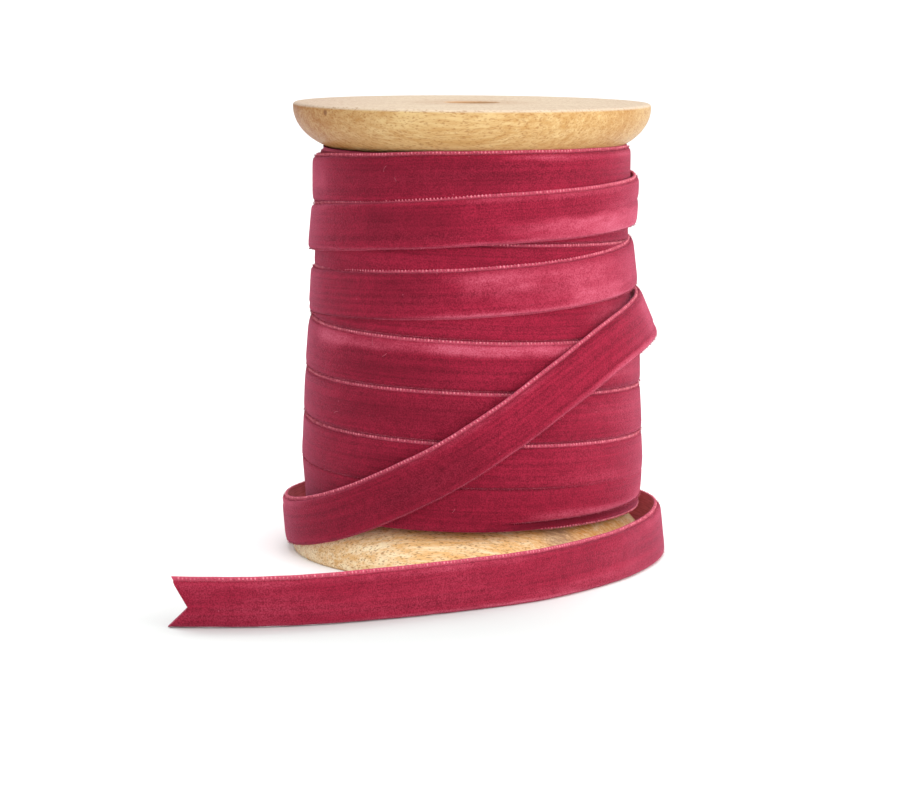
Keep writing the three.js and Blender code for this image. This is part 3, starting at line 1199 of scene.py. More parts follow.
@dataclass
class Row:
    """Small shapes that stand in a row along lines, made with Geometry Nodes."""

    name: str
    lines: Sequence[EdgeLine]
    seed: int = 7
    sheet: ShaderSheet = field(init=False)
    given: bpy.types.Node = field(init=False)

    def guide(self) -> bpy.types.Object:
        """Makes the mesh of lines that the row follows.

        Returns:
            The guide, with its two directions as point attributes.
        """
        places: list[Point] = []
        edges: list[tuple[int, int]] = []
        for line in self.lines:
            first = len(places)
            places.extend(tuple(float(v) * MM for v in place) for place in line.places)
            edges.extend((k, k + 1) for k in range(first, len(places) - 1))
        mesh = bpy.data.meshes.new(self.name)
        mesh.from_pydata(places, edges, [])
        for attribute, rows in (
            (Field.OUTWARD, [v for line in self.lines for v in line.outward]),
            (Field.UPWARD, [v for line in self.lines for v in line.upward]),
        ):
            made = mesh.attributes.new(attribute.value, "FLOAT_VECTOR", "POINT")
            made.data.foreach_set("vector", np.array(rows, dtype=np.float32).ravel())
        guide = bpy.data.objects.new(self.name, mesh)
        bpy.context.scene.collection.objects.link(guide)
        return guide

    def start_tree(self, sizes: dict[str, float]) -> bpy.types.NodeSocket:
        """Starts the tree with its named inputs and with points at an even pitch.

        Args:
            sizes: Name and value of each size, in metres.

        Returns:
            The points along the guide.
        """
        tree = bpy.data.node_groups.new(self.name + "_row", "GeometryNodeTree")
        sockets = tree.interface
        sockets.new_socket("Guide", in_out="INPUT", socket_type="NodeSocketGeometry")
        for label, value in sizes.items():
            sockets.new_socket(label, in_out="INPUT", socket_type="NodeSocketFloat").default_value = value
        sockets.new_socket("Seed", in_out="INPUT", socket_type="NodeSocketInt").default_value = self.seed
        sockets.new_socket("Finish", in_out="INPUT", socket_type="NodeSocketMaterial")
        sockets.new_socket("Row", in_out="OUTPUT", socket_type="NodeSocketGeometry")
        self.sheet = sheet = ShaderSheet(tree)
        self.given = sheet.node("NodeGroupInput")
        curve = sheet.set(sheet.node("GeometryNodeMeshToCurve"), Mesh=self.given.outputs["Guide"])
        even = sheet.node("GeometryNodeResampleCurve", mode="LENGTH")
        sheet.set(even, Curve=curve.outputs[0], Length=self.given.outputs["Pitch"])
        return even.outputs[0]

    def direction(self, attribute: Field) -> bpy.types.NodeSocket:
        """Reads one of the guide's directions at each point."""
        read = self.sheet.node("GeometryNodeInputNamedAttribute", data_type="FLOAT_VECTOR")
        return self.sheet.set(read, Name=attribute.value).outputs["Attribute"]

    def random_between(self, low: Point, high: Point) -> bpy.types.NodeSocket:
        """Gives three random numbers for each shape, with the tree's seed.

        Args:
            low: The lowest of each number.
            high: The highest of each number.

        Returns:
            The numbers as a vector.
        """
        made = self.sheet.node("FunctionNodeRandomValue", data_type="FLOAT_VECTOR")
        self.sheet.fill(made.inputs[0], low)
        self.sheet.fill(made.inputs[1], high)
        return self.sheet.set(made, Seed=self.given.outputs["Seed"]).outputs[0]

    def facing(self, forward: bpy.types.NodeSocket, aside: bpy.types.NodeSocket) -> bpy.types.NodeSocket:
        """Turns each shape's Z to one direction and its X to another.

        Args:
            forward: Where Z points.
            aside: Where X points, as near as it can.

        Returns:
            The rotation.
        """
        made = self.sheet.node("FunctionNodeAxesToRotation", primary_axis="Z", secondary_axis="X")
        self.sheet.fill(made.inputs[0], forward)
        self.sheet.fill(made.inputs[1], aside)
        return made.outputs[0]

    def finish_tree(self, **placing: bpy.types.NodeSocket) -> None:
        """Ends the tree: the shapes in their places, real, smooth and in their finish.

        Args:
            placing: What Instance on Points takes.
        """
        sheet = self.sheet
        placed = sheet.set(sheet.node("GeometryNodeInstanceOnPoints"), **placing)
        real = sheet.set(sheet.node("GeometryNodeRealizeInstances"), Geometry=placed.outputs[0])
        smooth = sheet.set(sheet.node("GeometryNodeSetShadeSmooth"), Geometry=real.outputs[0])
        dressed = sheet.node("GeometryNodeSetMaterial")
        sheet.set(dressed, Geometry=smooth.outputs[0], Material=self.given.outputs["Finish"])
        sheet.set(sheet.node("NodeGroupOutput"), Row=dressed.outputs[0])

    def make(self, sizes: dict[str, float], finish: bpy.types.Material) -> bpy.types.Object:
        """Runs the tree on the guide, with its inputs set by identifier.

        Args:
            sizes: Name and value of each size, in metres.
            finish: The material.

        Returns:
            The row as a plain mesh.
        """
        guide = self.guide()
        modifier = guide.modifiers.new("row", "NODES")
        modifier.node_group = self.sheet.tree
        values = {**sizes, "Seed": self.seed, "Finish": finish}
        for item in self.sheet.tree.interface.items_tree:
            if item.in_out == "INPUT" and item.name in values:
                modifier[item.identifier] = values[item.name]
        return plain_mesh(guide, self.name, finish)


@dataclass
class EdgeLoops(Row):
    """Row of small thread loops along the woven edges of a ribbon."""

    pitch: float = 0.73
    along: float = 0.47
    across: float = 0.60
    out: float = 0.38
    segments: int = 6
    rings: int = 4
    smallest: Point = (0.85, 0.8, 0.75)
    largest: Point = (1.2, 1.12, 1.2)

    def build(self, finishes: Finishes) -> bpy.types.Object:
        """Makes loops at an even pitch, each a little uneven, facing out of the ribbon.

        Args:
            finishes: The object's materials.

        Returns:
            The loops.
        """
        sizes = {
            "Pitch": self.pitch * MM,
            "Along": self.along * MM,
            "Across": self.across * MM,
            "Out": self.out * MM,
        }
        points = self.start_tree(sizes)
        sheet, given = self.sheet, self.given.outputs
        ball = sheet.node("GeometryNodeMeshUVSphere")
        sheet.set(ball, Segments=self.segments, Rings=self.rings, Radius=0.5)
        size = sheet.node("ShaderNodeCombineXYZ")
        sheet.set(size, X=given["Across"], Y=given["Along"], Z=given["Out"])
        shaped = sheet.node("GeometryNodeTransform")
        sheet.set(shaped, Geometry=ball.outputs["Mesh"], Scale=size.outputs[0])
        self.finish_tree(
            Points=points,
            Instance=shaped.outputs[0],
            Rotation=self.facing(self.direction(Field.OUTWARD), self.direction(Field.UPWARD)),
            Scale=self.random_between(self.smallest, self.largest),
        )
        return self.make(sizes, finishes.thread)


@dataclass
class PileFringe(Row):
    """Tips of the pile that stand out along its borders, down or up and away from the cloth."""

    pitch: float = 0.20
    length: float = 0.55
    thickness: float = 0.085
    scatter: float = 0.7
    smallest: Point = (0.7, 0.7, 0.5)
    largest: Point = (1.3, 1.3, 1.3)

    def build(self, finishes: Finishes) -> bpy.types.Object:
        """Makes thin cones that lean out at random.

        Args:
            finishes: The object's materials.

        Returns:
            The tips.
        """
        sizes = {"Pitch": self.pitch * MM, "Length": self.length * MM, "Thickness": self.thickness * MM}
        points = self.start_tree(sizes)
        sheet, given = self.sheet, self.given.outputs
        tip = sheet.node("GeometryNodeMeshCone")
        half_thickness = sheet.times(given["Thickness"], 0.5)
        sheet.set(tip, Vertices=3, Radius_Bottom=half_thickness, Depth=given["Length"])
        outward = self.direction(Field.OUTWARD)
        reach = sheet.vectors("ADD", outward, self.direction(Field.UPWARD))["Vector"]
        stray = self.random_between((-self.scatter,) * 3, (self.scatter,) * 3)
        lean = sheet.vectors("ADD", reach, stray)["Vector"]
        self.finish_tree(
            Points=points,
            Instance=tip.outputs["Mesh"],
            Rotation=self.facing(lean, outward),
            Scale=self.random_between(self.smallest, self.largest),
        )
        return self.make(sizes, finishes.tufts)


def plain_mesh(source: bpy.types.Object, name: str, material: bpy.types.Material) -> bpy.types.Object:
    """Turns an object's evaluated shape into a plain mesh and removes the object.

    Args:
        source: The object with its live modifier.
        name: The name of the result.
        material: The material of the result.

    Returns:
        The plain piece.
    """
    bpy.context.view_layer.update()
    graph = bpy.context.evaluated_depsgraph_get()
    mesh = bpy.data.meshes.new_from_object(source.evaluated_get(graph))
    bpy.data.objects.remove(source)
    mesh.name = name
    mesh.materials.clear()
    mesh.materials.append(material)
    piece = bpy.data.objects.new(name, mesh)
    bpy.context.scene.collection.objects.link(piece)
    return piece


# Ribbon


@dataclass(frozen=True)
class Section:
    """Cross-section of the ribbon: depth of its pile side at places out from the middle.

    The pile covers more of the lower edge than of the upper one.
    """

    half_width: float = 5.0
    upper: tuple[tuple[float, float], ...] = (
        (5.0, 0.20), (4.94, 0.36), (4.66, 0.44), (4.38, 0.44), (4.29, 0.60), (4.18, 0.92), (3.93, 1.15),
        (3.5, 1.25), (2.9, 1.29), (2.3, 1.30), (1.7, 1.30), (1.1, 1.30), (0.55, 1.30),
    )  # fmt: skip
    lower: tuple[tuple[float, float], ...] = (
        (5.0, 0.20), (4.97, 0.34), (4.88, 0.42), (4.78, 0.44), (4.74, 0.62), (4.66, 0.90), (4.42, 1.12),
        (3.95, 1.22), (3.3, 1.28), (2.6, 1.30), (1.9, 1.30), (1.2, 1.30), (0.6, 1.30),
    )  # fmt: skip
    bare_upper: float = 4.35
    bare_lower: float = 4.76
    pile: float = 1.30
    back: float = 0.08

    def sides(self) -> tuple[np.ndarray, np.ndarray, np.ndarray]:
        """Lists the section from the lower to the upper edge.

        Returns:
            Place across, depth of the pile side and depth of the back.
        """
        across = [-a for a, _ in self.lower] + [0.0] + [a for a, _ in reversed(self.upper)]
        pile = [d for _, d in self.lower] + [self.pile] + [d for _, d in reversed(self.upper)]
        back = [self.back if abs(a) == self.half_width else 0.0 for a in across]
        return np.array(across), np.array(pile), np.array(back)


@dataclass(frozen=True)
class SpoolForm:
    """Turned form of the spool, whose two flanges are alike, in millimetres."""

    height: float = 92.5
    radius: float = 36.6
    rim: float = 0.8
    rim_round: float = 0.7
    dome_reach: float = 12.8
    dome_rise: float = 9.2
    bore: float = 5.5
    bore_round: float = 0.45
    barrel_radius: float = 22.45


SECTION = Section()
SPOOL = SpoolForm()


@dataclass(frozen=True)
class Course:
    """Path of a ribbon through its stations, steered at its ends by where the ribbon goes on."""

    stations: tuple[Station, ...]
    before: tuple[Station, ...] = ()
    after: tuple[Station, ...] = ()

    def standing(self, lean: float) -> float:
        """Gives the height of the middle of a ribbon that stands on its lower edge at that lean."""
        tilt = math.radians(lean)
        return SECTION.half_width * math.cos(tilt) - min(0.6 * math.sin(tilt), 0.0)

    def channels(self) -> list[np.ndarray]:
        """Lists the stations by column.

        Returns:
            The rows of angles, radii, heights and leans.
        """
        stations = (*self.before, *self.stations, *self.after)
        heights = [s.height if s.height is not None else self.standing(s.lean) for s in stations]
        columns = (
            [s.angle for s in stations],
            [s.radius for s in stations],
            heights,
            [s.lean for s in stations],
        )
        return [np.array(column, dtype=float) for column in columns]

    def places(self, at: np.ndarray) -> np.ndarray:
        """Reads points of the path.

        Args:
            at: Places along the path, counted in stations.

        Returns:
            The points, in millimetres.
        """
        angle, radius, height, _ = (through(channel, at) for channel in self.channels())
        turn = np.radians(angle)
        return np.stack([radius * np.cos(turn), radius * np.sin(turn), height], axis=1)

    def evenly(self, spacing: float) -> np.ndarray:
        """Places along the path at an even spacing.

        Args:
            spacing: Distance between them, in millimetres.

        Returns:
            The places, counted in stations.
        """
        first = len(self.before)
        fine = np.linspace(first, first + len(self.stations) - 1, 6000)
        points = self.places(fine)
        run = np.concatenate([[0.0], np.cumsum(np.linalg.norm(np.diff(points, axis=0), axis=1))])
        count = max(int(run[-1] / spacing), 2)
        return np.interp(np.linspace(0, run[-1], count + 1), run, fine)

    def frames(self, at: np.ndarray) -> dict[str, np.ndarray]:
        """Place and directions of the ribbon.

        Args:
            at: Places along the path, counted in stations.

        Returns:
            Rows named origin, along, up, out, degrees and run, the length so far in millimetres.
        """
        glance, last = 0.02, len(self.before) + len(self.stations) + len(self.after) - 1
        ahead = self.places(np.minimum(at + glance, last))
        along = ahead - self.places(np.maximum(at - glance, 0))
        along /= np.linalg.norm(along, axis=1)[:, None]
        level_out = np.cross([0.0, 0.0, 1.0], along)
        level_out /= np.linalg.norm(level_out, axis=1)[:, None]
        level_up = np.cross(along, level_out)
        channels = self.channels()
        lean = np.radians(through(channels[3], at))[:, None]
        origin = self.places(at)
        steps = np.linalg.norm(np.diff(origin, axis=0), axis=1)
        return {
            "origin": origin,
            "along": along,
            "up": level_up * np.cos(lean) - level_out * np.sin(lean),
            "out": level_out * np.cos(lean) + level_up * np.sin(lean),
            "degrees": through(channels[0], at),
            "run": np.concatenate([[0.0], np.cumsum(steps)]),
        }


@dataclass(frozen=True)
class SwallowTail:
    """Cut end of the ribbon: its notch and its upper tip, measured back from the lower tip."""

    across: float = -0.8
    depth: float = 4.1
    upper_tip: float = 1.1
    reach: float = 9.0

    def stops_short(self, across: np.ndarray) -> np.ndarray:
        """How far each row stops short of the lower tip, in millimetres."""
        edge = SECTION.half_width
        return np.interp(across, [-edge, self.across, edge], [0.0, self.depth, self.upper_tip])


@dataclass(frozen=True)
class Beside:
    """Line beside one edge of the ribbon, which loops or pile tips follow.

    The edge is the section's first or last column, and the way is 1 where what stands on the line
    points to the upper edge and -1 where it points to the lower one.
    """

    edge: int
    across: float
    depth: float
    lowest: float
    way: float


LOWER_LOOPS = Beside(0, -4.80, 0.12, 0.32, 1.0)
UPPER_LOOPS = Beside(-1, 4.70, 0.38, 0.32, 1.0)
LOWER_TIPS = Beside(0, -4.70, 0.72, 0.70, -1.0)
UPPER_TIPS = Beside(-1, 4.27, 0.72, 0.70, 1.0)


@dataclass
class RibbonRun:
    """Length of ribbon lying along a course."""

    name: str
    course: Course
    face_depth: float
    crush_and_painted_light: tuple[Mark, ...]
    creases: tuple[Mark, ...]
    spacing: float = 0.75
    seed: float = 1.0
    cut: SwallowTail | None = None
    floor: bool = False
    begins: float = 0.0
    settling: float = 6.0
    inset: float = 0.4
    inset_at_cut: float = 1.2
    least_height: float = 0.02
    lower_share: float = 0.35
    beside: dict[Beside, EdgeLine] = field(default_factory=dict)

    def sweep(self, draft: MeshDraft, frames: dict[str, np.ndarray]) -> list[tuple[list[int], list[int]]]:
        """Adds the points of every cross-section and follows the lines beside the edges.

        Args:
            draft: The mesh being made.
            frames: Place and directions of the ribbon at each cross-section.

        Returns:
            The points of the pile side and of the back in each cross-section.
        """
        across, pile, back = SECTION.sides()
        run, degrees = frames["run"], frames["degrees"]
        total = run[-1]
        wander = 0.10 * drift(run, 14.0, self.seed) + 0.05 * drift(run, 4.0, self.seed + 3)
        ease = np.clip(np.minimum(run, total - run) / self.settling, 0, 1)
        breadth = 1.0 + 0.006 * ease * drift(run, 9.0, self.seed + 5)
        swell = 0.10 * drift(run, 11.0, self.seed + 7)
        sunk = marked(self.creases, degrees[:, None], across[None, :])
        # Marks for pile laid flat or standing up, and painted light and shade
        pressed_and_painted_light = np.clip(marked(self.crush_and_painted_light, degrees[:, None], across[None, :]), -1.0, 1.0)
        bare = (across >= SECTION.bare_upper) | (across <= -SECTION.bare_lower)
        woven = bare * np.where(across < 0, self.lower_share, 1.0)
        last_inset = self.inset_at_cut if self.cut else self.inset

        self.beside = {line: EdgeLine() for line in (LOWER_LOOPS, UPPER_LOOPS, LOWER_TIPS, UPPER_TIPS)}
        columns: list[tuple[list[int], list[int]]] = []
        for i in range(len(run)):
            origin, along, up, out = (frames[k][i] for k in ("origin", "along", "up", "out"))
            shift = np.zeros_like(across)
            if self.cut:
                closing = max(1 - (total - run[i]) / self.cut.reach, 0.0)
                shift = -closing * self.cut.stops_short(across)
            middle = origin + up * wander[i] * ease[i]
            lift = swell[i] * ease[i] * (1 - (across / SECTION.half_width) ** 2)
            rows: list[list[int]] = []
            pile_depth = self.face_depth + pile + lift - sunk[i] * (pile > 1)
            for depth in (pile_depth, self.face_depth + back + lift):
                row = []
                for k in range(len(across)):
                    place = middle + up * across[k] * breadth[i] + out * depth[k] + along * shift[k]
                    if self.floor:
                        place[2] = max(place[2], self.least_height)
                    row.append(draft.point(place, woven[k], float(pressed_and_painted_light[i, k])))
                rows.append(row)
            columns.append((rows[0], rows[1]))
            for line, followed in self.beside.items():
                place = middle + up * line.across * breadth[i] + along * shift[line.edge]
                place = place + out * (self.face_depth + line.depth)
                if self.floor:
                    place[2] = max(place[2], line.lowest)
                if run[i] > self.inset and total - run[i] > last_inset:
                    followed.add(place, out, up * line.way)
        return columns

    def draft(self) -> MeshDraft:
        """Sweeps the ribbon's section along its course and closes it.

        Returns:
            The closed mesh, with the pile side in slot 0 and the back in slot 1.
        """
        frames = self.course.frames(self.course.evenly(self.spacing))
        draft = MeshDraft()
        columns = self.sweep(draft, frames)
        wide = (SECTION.sides()[0] + SECTION.half_width) / 10
        length = (self.begins + frames["run"]) / 10
        for i in range(len(columns) - 1):
            u0, u1 = length[i], length[i + 1]
            (p0, b0), (p1, b1) = columns[i], columns[i + 1]
            for k in range(len(wide) - 1):
                v0, v1 = wide[k], wide[k + 1]
                uv = [(u0, v0), (u1, v0), (u1, v1), (u0, v1)]
                draft.face((p0[k], p0[k + 1], p1[k + 1], p1[k]), [uv[0], uv[3], uv[2], uv[1]])
                draft.face((b0[k], b1[k], b1[k + 1], b0[k + 1]), uv, 1)
            top, low = wide[-1], wide[0]
            draft.face((p0[-1], b0[-1], b1[-1], p1[-1]), [(u0, top)] * 2 + [(u1, top)] * 2)
            draft.face((p0[0], p1[0], b1[0], b0[0]), [(u0, low), (u1, low), (u1, low), (u0, low)])
        for (p, b), u, closing_end in ((columns[0], length[0], False), (columns[-1], length[-1], True)):
            draft.rims.append((*p, *reversed(b)))
            for k in range(len(wide) - 1):
                ring = [p[k], b[k], b[k + 1], p[k + 1]]
                uv = [(u, wide[k])] * 2 + [(u, wide[k + 1])] * 2
                draft.face(ring[::-1] if closing_end else ring, uv)
        return draft

    def dress(self, finishes: Finishes, node: str) -> tuple[bpy.types.Object, list[bpy.types.Object]]:
        """Makes the cloth, the loops of both edges and the tips of the pile.

        The lower loops are smaller, because most of them are behind the pile.

        Args:
            finishes: The object's materials.
            node: The CAD node that they stand for.

        Returns:
            The cloth and its trimmings.
        """
        cloth = self.draft().build(self.name, [finishes.pile, finishes.back])
        seed = int(self.seed)
        lower, upper, *borders = self.beside.values()
        settle(cloth, Slot.VELVET, node)
        trimmings = [
            EdgeLoops(self.name + "_lower_edge", [lower], seed, across=0.34, out=0.22).build(finishes),
            EdgeLoops(self.name + "_upper_edge", [upper], seed + 1).build(finishes),
            PileFringe(self.name + "_pile_tips", borders, seed + 2).build(finishes),
        ]
        for piece in trimmings:
            settle(piece, Slot.VELVET, node)
        return cloth, trimmings

    def length(self) -> float:
        """Measures the run, in metres."""
        return float(self.course.frames(self.course.evenly(self.spacing))["run"][-1]) * MM

    def flat_size(self) -> tuple[float, float]:
        """Gives the width and length of the cut ribbon laid flat, in metres."""
        return (2 * SECTION.half_width * MM, round(self.length(), 3))


@dataclass
class LooseEnd:
    """Loose end of the ribbon, from the back of the winding to its swallow-tail cut."""

    run: RibbonRun = field(
        default_factory=lambda: RibbonRun(
            "loose_ribbon",
            Course(LOOSE_END, before=(Station(90, 33.0, 52.3, 4),)),
            face_depth=0.0,
            crush_and_painted_light=LOOSE_CRUSH_AND_PAINTED_LIGHT,
            creases=LOOSE_CREASES,
            seed=21.0,
            cut=SwallowTail(),
            floor=True,
        )
    )

    def build(self, finishes: Finishes) -> list[bpy.types.Object]:
        """Makes the loose end with its edge loops and pile tips.

        Args:
            finishes: The object's materials.

        Returns:
            The ribbon and its trimmings.
        """
        cloth, trimmings = self.run.dress(finishes, "ribbon_loose_end")
        self.run.flat_size()
        return [cloth, *trimmings]


@dataclass
class OuterLayer:
    """Outer turns of the winding, down from the upper flange to where the loose end leaves."""

    run: RibbonRun = field(
        default_factory=lambda: RibbonRun(
            "wound_outer_ribbon",
            Course(OUTER_TURNS, after=(Station(-1040, 36.1, 51.1, 9),)),
            face_depth=-1.30,
            crush_and_painted_light=OUTER_CRUSH_AND_PAINTED_LIGHT,
            creases=OUTER_CREASES,
            seed=5.0,
        )
    )

    def build(self, finishes: Finishes) -> list[bpy.types.Object]:
        """Makes the outer turns with their edge loops and pile tips.

        Args:
            finishes: The object's materials.

        Returns:
            The ribbon and its trimmings.
        """
        cloth, trimmings = self.run.dress(finishes, "ribbon_winding")
        self.run.flat_size()
        return [cloth, *trimmings]


@dataclass
class UnderLayer:
    """Turns of the winding that lie against the barrel, one skin with a step at each seam."""

    name: str = "wound_under_ribbon"
    steps_per_quarter: int = 50
    usual_radius: float = 34.0
    clear: float = 0.4
    end_ridge: float = 0.25
    unevenness: float = 0.09
    open_from: float = 0.3
    # Distance below the upper seam, and height of the surface over the wound radius where the
    # upper edge shows and where it is tucked under the turn above
    upper: tuple[tuple[float, float, float], ...] = (
        (0.0, -0.86, -0.62), (0.03, -0.62, -0.40), (0.12, -0.50, -0.22), (0.34, -0.44, -0.08),
        (0.60, -0.42, -0.01), (0.70, -0.28, 0.01), (0.84, -0.04, 0.04), (1.12, 0.06, 0.07),
        (1.6, 0.10, 0.10), (2.4, 0.12, 0.12),
    )  # fmt: skip
    # Degrees along the seam, and how deep it is there as a share
    seam_depths: tuple[tuple[float, float], ...] = (
        (0, 1.0), (2200, 1.0), (2260, 0.6), (2340, 0.4), (2400, 0.8), (2455, 0.8), (2485, 0.12),
        (2540, 0.12), (2600, 0.6), (2690, 0.8), (2725, 0.0), (2798, 0.0), (2814, 1.0), (3060, 1.0),
    )  # fmt: skip
    tucked: tuple[tuple[float, float], ...] = ((2235.0, 3060.0),)
    # Share of the way from the last row above to the first row below
    middle: tuple[tuple[float, float], ...] = ((0.2, 0.13), (0.4, 0.13), (0.6, 0.13), (0.8, 0.13))
    # Degrees along the seam, and how far the turn below it lies back, in millimetres
    set_back: tuple[tuple[float, float], ...] = (
        (2798, 0.0), (2814, 1.0), (2850, 1.1), (2872, 0.5), (2890, 0.1), (2990, 0.0), (3030, 0.0),
    )  # fmt: skip
    # Distance above the lower seam
    lower: tuple[tuple[float, float], ...] = (
        (1.9, 0.12), (1.2, 0.08), (0.75, 0.0), (0.4, -0.17), (0.15, -0.48),
    )  # fmt: skip
    bare: tuple[float, float] = (0.02, 0.62)
    ends: tuple[float, ...] = (30.5, 29.0, 27.5, 26.0, 24.8, 23.8, SPOOL.barrel_radius)
    foot_edge: tuple[float, float] = (2814.0, 3000.0)
    foot_line_rise: float = 0.22
    foot_sink: float = 0.1
    tucks_over: float = 25.0
    whole_span: float = 5.2
    draft: MeshDraft = field(default_factory=MeshDraft)
    steps: int = field(init=False)
    turn: int = field(init=False)
    last: int = field(init=False)
    seam: np.ndarray = field(init=False)

    def __post_init__(self) -> None:
        """Works out the seam, its steps, the steps of one turn and where the last turn begins."""
        self.steps = (len(SEAM_HEIGHTS) - 1) * self.steps_per_quarter
        self.turn = 4 * self.steps_per_quarter
        self.last = self.steps - self.turn
        self.seam = through(np.array(SEAM_HEIGHTS), np.arange(self.steps + 1) / self.steps_per_quarter)

    def degrees(self, step: int) -> float:
        """Gives the angle along the seam at one of its steps."""
        return step / self.steps_per_quarter * QUARTER

    def radius(self, degrees: float, height: float) -> float:
        """Reads the wound radius.

        Args:
            degrees: Angle round the spool.
            height: Height over the foot.

        Returns:
            The radius, in millimetres.
        """
        rows = np.array(UNDER_RADII)[::-1]
        left, right = (np.interp(height, rows[:, 0], rows[:, side]) for side in (1, 2))
        return (left + right) / 2 + (right - left) / 2 * math.cos(math.radians(degrees))

    def between_flanges(self, radius: float, height: float) -> float:
        """Keeps a height clear of both flanges.

        Args:
            radius: Distance from the axis.
            height: The height wished for.

        Returns:
            The nearest height that is clear.
        """
        across = max(radius - SPOOL.radius + SPOOL.dome_reach, 0) / SPOOL.dome_reach
        flange = SPOOL.rim + SPOOL.dome_rise * math.sqrt(max(1 - across**2, 0)) + self.clear
        return min(max(height, flange), SPOOL.height - flange)

    def showing(self, step: int) -> float:
        """Works out how much the upper edge shows.

        Args:
            step: Step of the seam.

        Returns:
            0 where it is tucked under the turn above, and 1 where all of it shows.
        """
        degrees = self.degrees(step)
        inside = (min(degrees - start, end - degrees) for start, end in self.tucked)
        return 1.0 - min(max(max(inside) / self.tucks_over, 0.0), 1.0)

    def seam_depth(self, step: int) -> float:
        """Reads how deep the seam is at one of its steps, as a share."""
        return float(np.interp(self.degrees(step), *zip(*self.seam_depths)))

    def lies_back(self, step: int) -> float:
        """Reads how far the turn below the seam lies back at one of its steps."""
        return float(np.interp(self.degrees(step), *zip(*self.set_back)))

    def rows(self, step: int, top: float, foot: float) -> list[tuple[float, float, float]]:
        """Rows of one column from its upper seam down to just above its lower seam.

        Args:
            step: Number of the column along the seam.
            top: Height of the upper seam.
            foot: Height of the lower seam.

        Returns:
            Height, lift over the wound radius and distance below the upper seam of each row.
        """
        span = max(top - foot, 1e-3)
        ease = min(span / self.whole_span, 1.0)
        shows, flush = self.showing(step), self.middle[0][1]
        above_depth, below_depth = self.seam_depth(step), self.seam_depth(step + self.turn)
        back = self.lies_back(step)
        listed = []
        for below, lift, hidden in self.upper:
            shaped = lift * shows + hidden * (1 - shows)
            listed.append((below * ease, flush + (shaped - flush) * above_depth))
        first, final = self.upper[-1][0] * ease, span - self.lower[0][0] * ease
        listed += [(first + share * (final - first), lift) for share, lift in self.middle]
        for above, lift in self.lower:
            listed.append((span - above * ease, flush + (lift - flush) * below_depth))
        return [(top - below, lift - back, below) for below, lift in listed]

    def place(self, step: int, height: float, lift: float, below: float) -> int:
        """Adds a point of the wound surface.

        Args:
            step: Number of the column along the seam.
            height: Height of the point.
            lift: How far it stands over the wound radius.
            below: Distance below the upper seam.

        Returns:
            The point's number.
        """
        degrees = self.degrees(step)
        turn = math.radians(degrees)
        run = self.usual_radius * turn
        uneven = self.unevenness * noise.noise(Vector((run / 9.0, height / 5.0, 1.5)))
        sunk = float(marked(UNDER_CREASES, np.array(degrees), np.array(below))) if lift > 0 else 0.0
        radius = self.radius(degrees, height) + lift + uneven - sunk
        woven = self.showing(step) if self.bare[0] <= below <= self.bare[1] else 0.0
        # Marks for pile laid flat or standing up, and painted light and shade
        crush_and_painted_light = float(marked(UNDER_CRUSH_AND_PAINTED_LIGHT, np.array(degrees), np.array(below)))
        place = (radius * math.cos(turn), radius * math.sin(turn), height)
        return self.draft.point(place, woven, max(min(crush_and_painted_light, 1.0), -1.0))

    def uv(self, step: int, below: float) -> tuple[float, float]:
        """Gives the coordinates along and across the ribbon, in centimetres."""
        return (self.usual_radius / 10 * math.radians(self.degrees(step)), below / 10)

    def band(
        self, after: Sequence[int], before: Sequence[int], step: int, belows: Sequence[float]
    ) -> None:
        """Adds the faces between two columns of points.

        Args:
            after: The column further along the seam.
            before: The column before it.
            step: Number of the column before.
            belows: Distance below the upper seam of each point of a column.
        """
        for k in range(len(before) - 1):
            here, there = self.uv(step, belows[k]), self.uv(step + 1, belows[k])
            here_low, there_low = self.uv(step, belows[k + 1]), self.uv(step + 1, belows[k + 1])
            ring = (after[k], before[k], before[k + 1], after[k + 1])
            self.draft.face(ring, [there, here, here_low, there_low])

    def wedge_above(self, columns: list[list[int]], first: list[int]) -> list[int]:
        """Fills the wedge between the first turn and a level ring at the head.

        Args:
            columns: The points of every column.
            first: The first column with the point below it.

        Returns:
            The level ring.
        """
        head = [columns[0][0]]
        before = head[:]
        top = float(self.seam[0])
        for step in range(1, self.turn + 1):
            rows = self.rows(step, top, float(self.seam[step]))
            here = first
            if step < self.turn:
                here = [self.place(step, *row) for row in rows] + [columns[step][0]]
            levels = [row[2] for row in rows] + [top - float(self.seam[step])]
            if len(before) == 1:
                for k in range(len(here) - 1):
                    self.draft.face((before[0], here[k + 1], here[k]), [self.uv(step, levels[k])] * 3)
            else:
                self.band(here, before, step - 1, levels)
            head.append(here[0])
            before = here
        return head

    def wedge_below(self, columns: list[list[int]], before: list[int]) -> list[int]:
        """Fills the wedge between the last turn and a level ring at the foot.

        Args:
            columns: The points of every column.
            before: The last whole column with the point below it.

        Returns:
            The level ring.
        """
        ring = [before[-1]]
        foot = float(self.seam[-1])
        for step in range(self.last + 1, self.steps + 1):
            rows = self.rows(step, float(self.seam[step]), foot)
            levels = [row[2] for row in rows] + [float(self.seam[step]) - foot]
            if step == self.steps:
                here = [ring[0]]
                for k in range(len(before) - 1):
                    self.draft.face((before[k], before[k + 1], here[0]), [self.uv(step, levels[k])] * 3)
            else:
                here = [columns[step][0]] + [self.place(step, *row) for row in rows[1:]]
                here.append(self.place(step, foot, rows[-1][1] - self.foot_sink, levels[-1]))
                self.band(here, before, step - 1, levels)
            ring.append(here[-1])
            before = here
        return ring

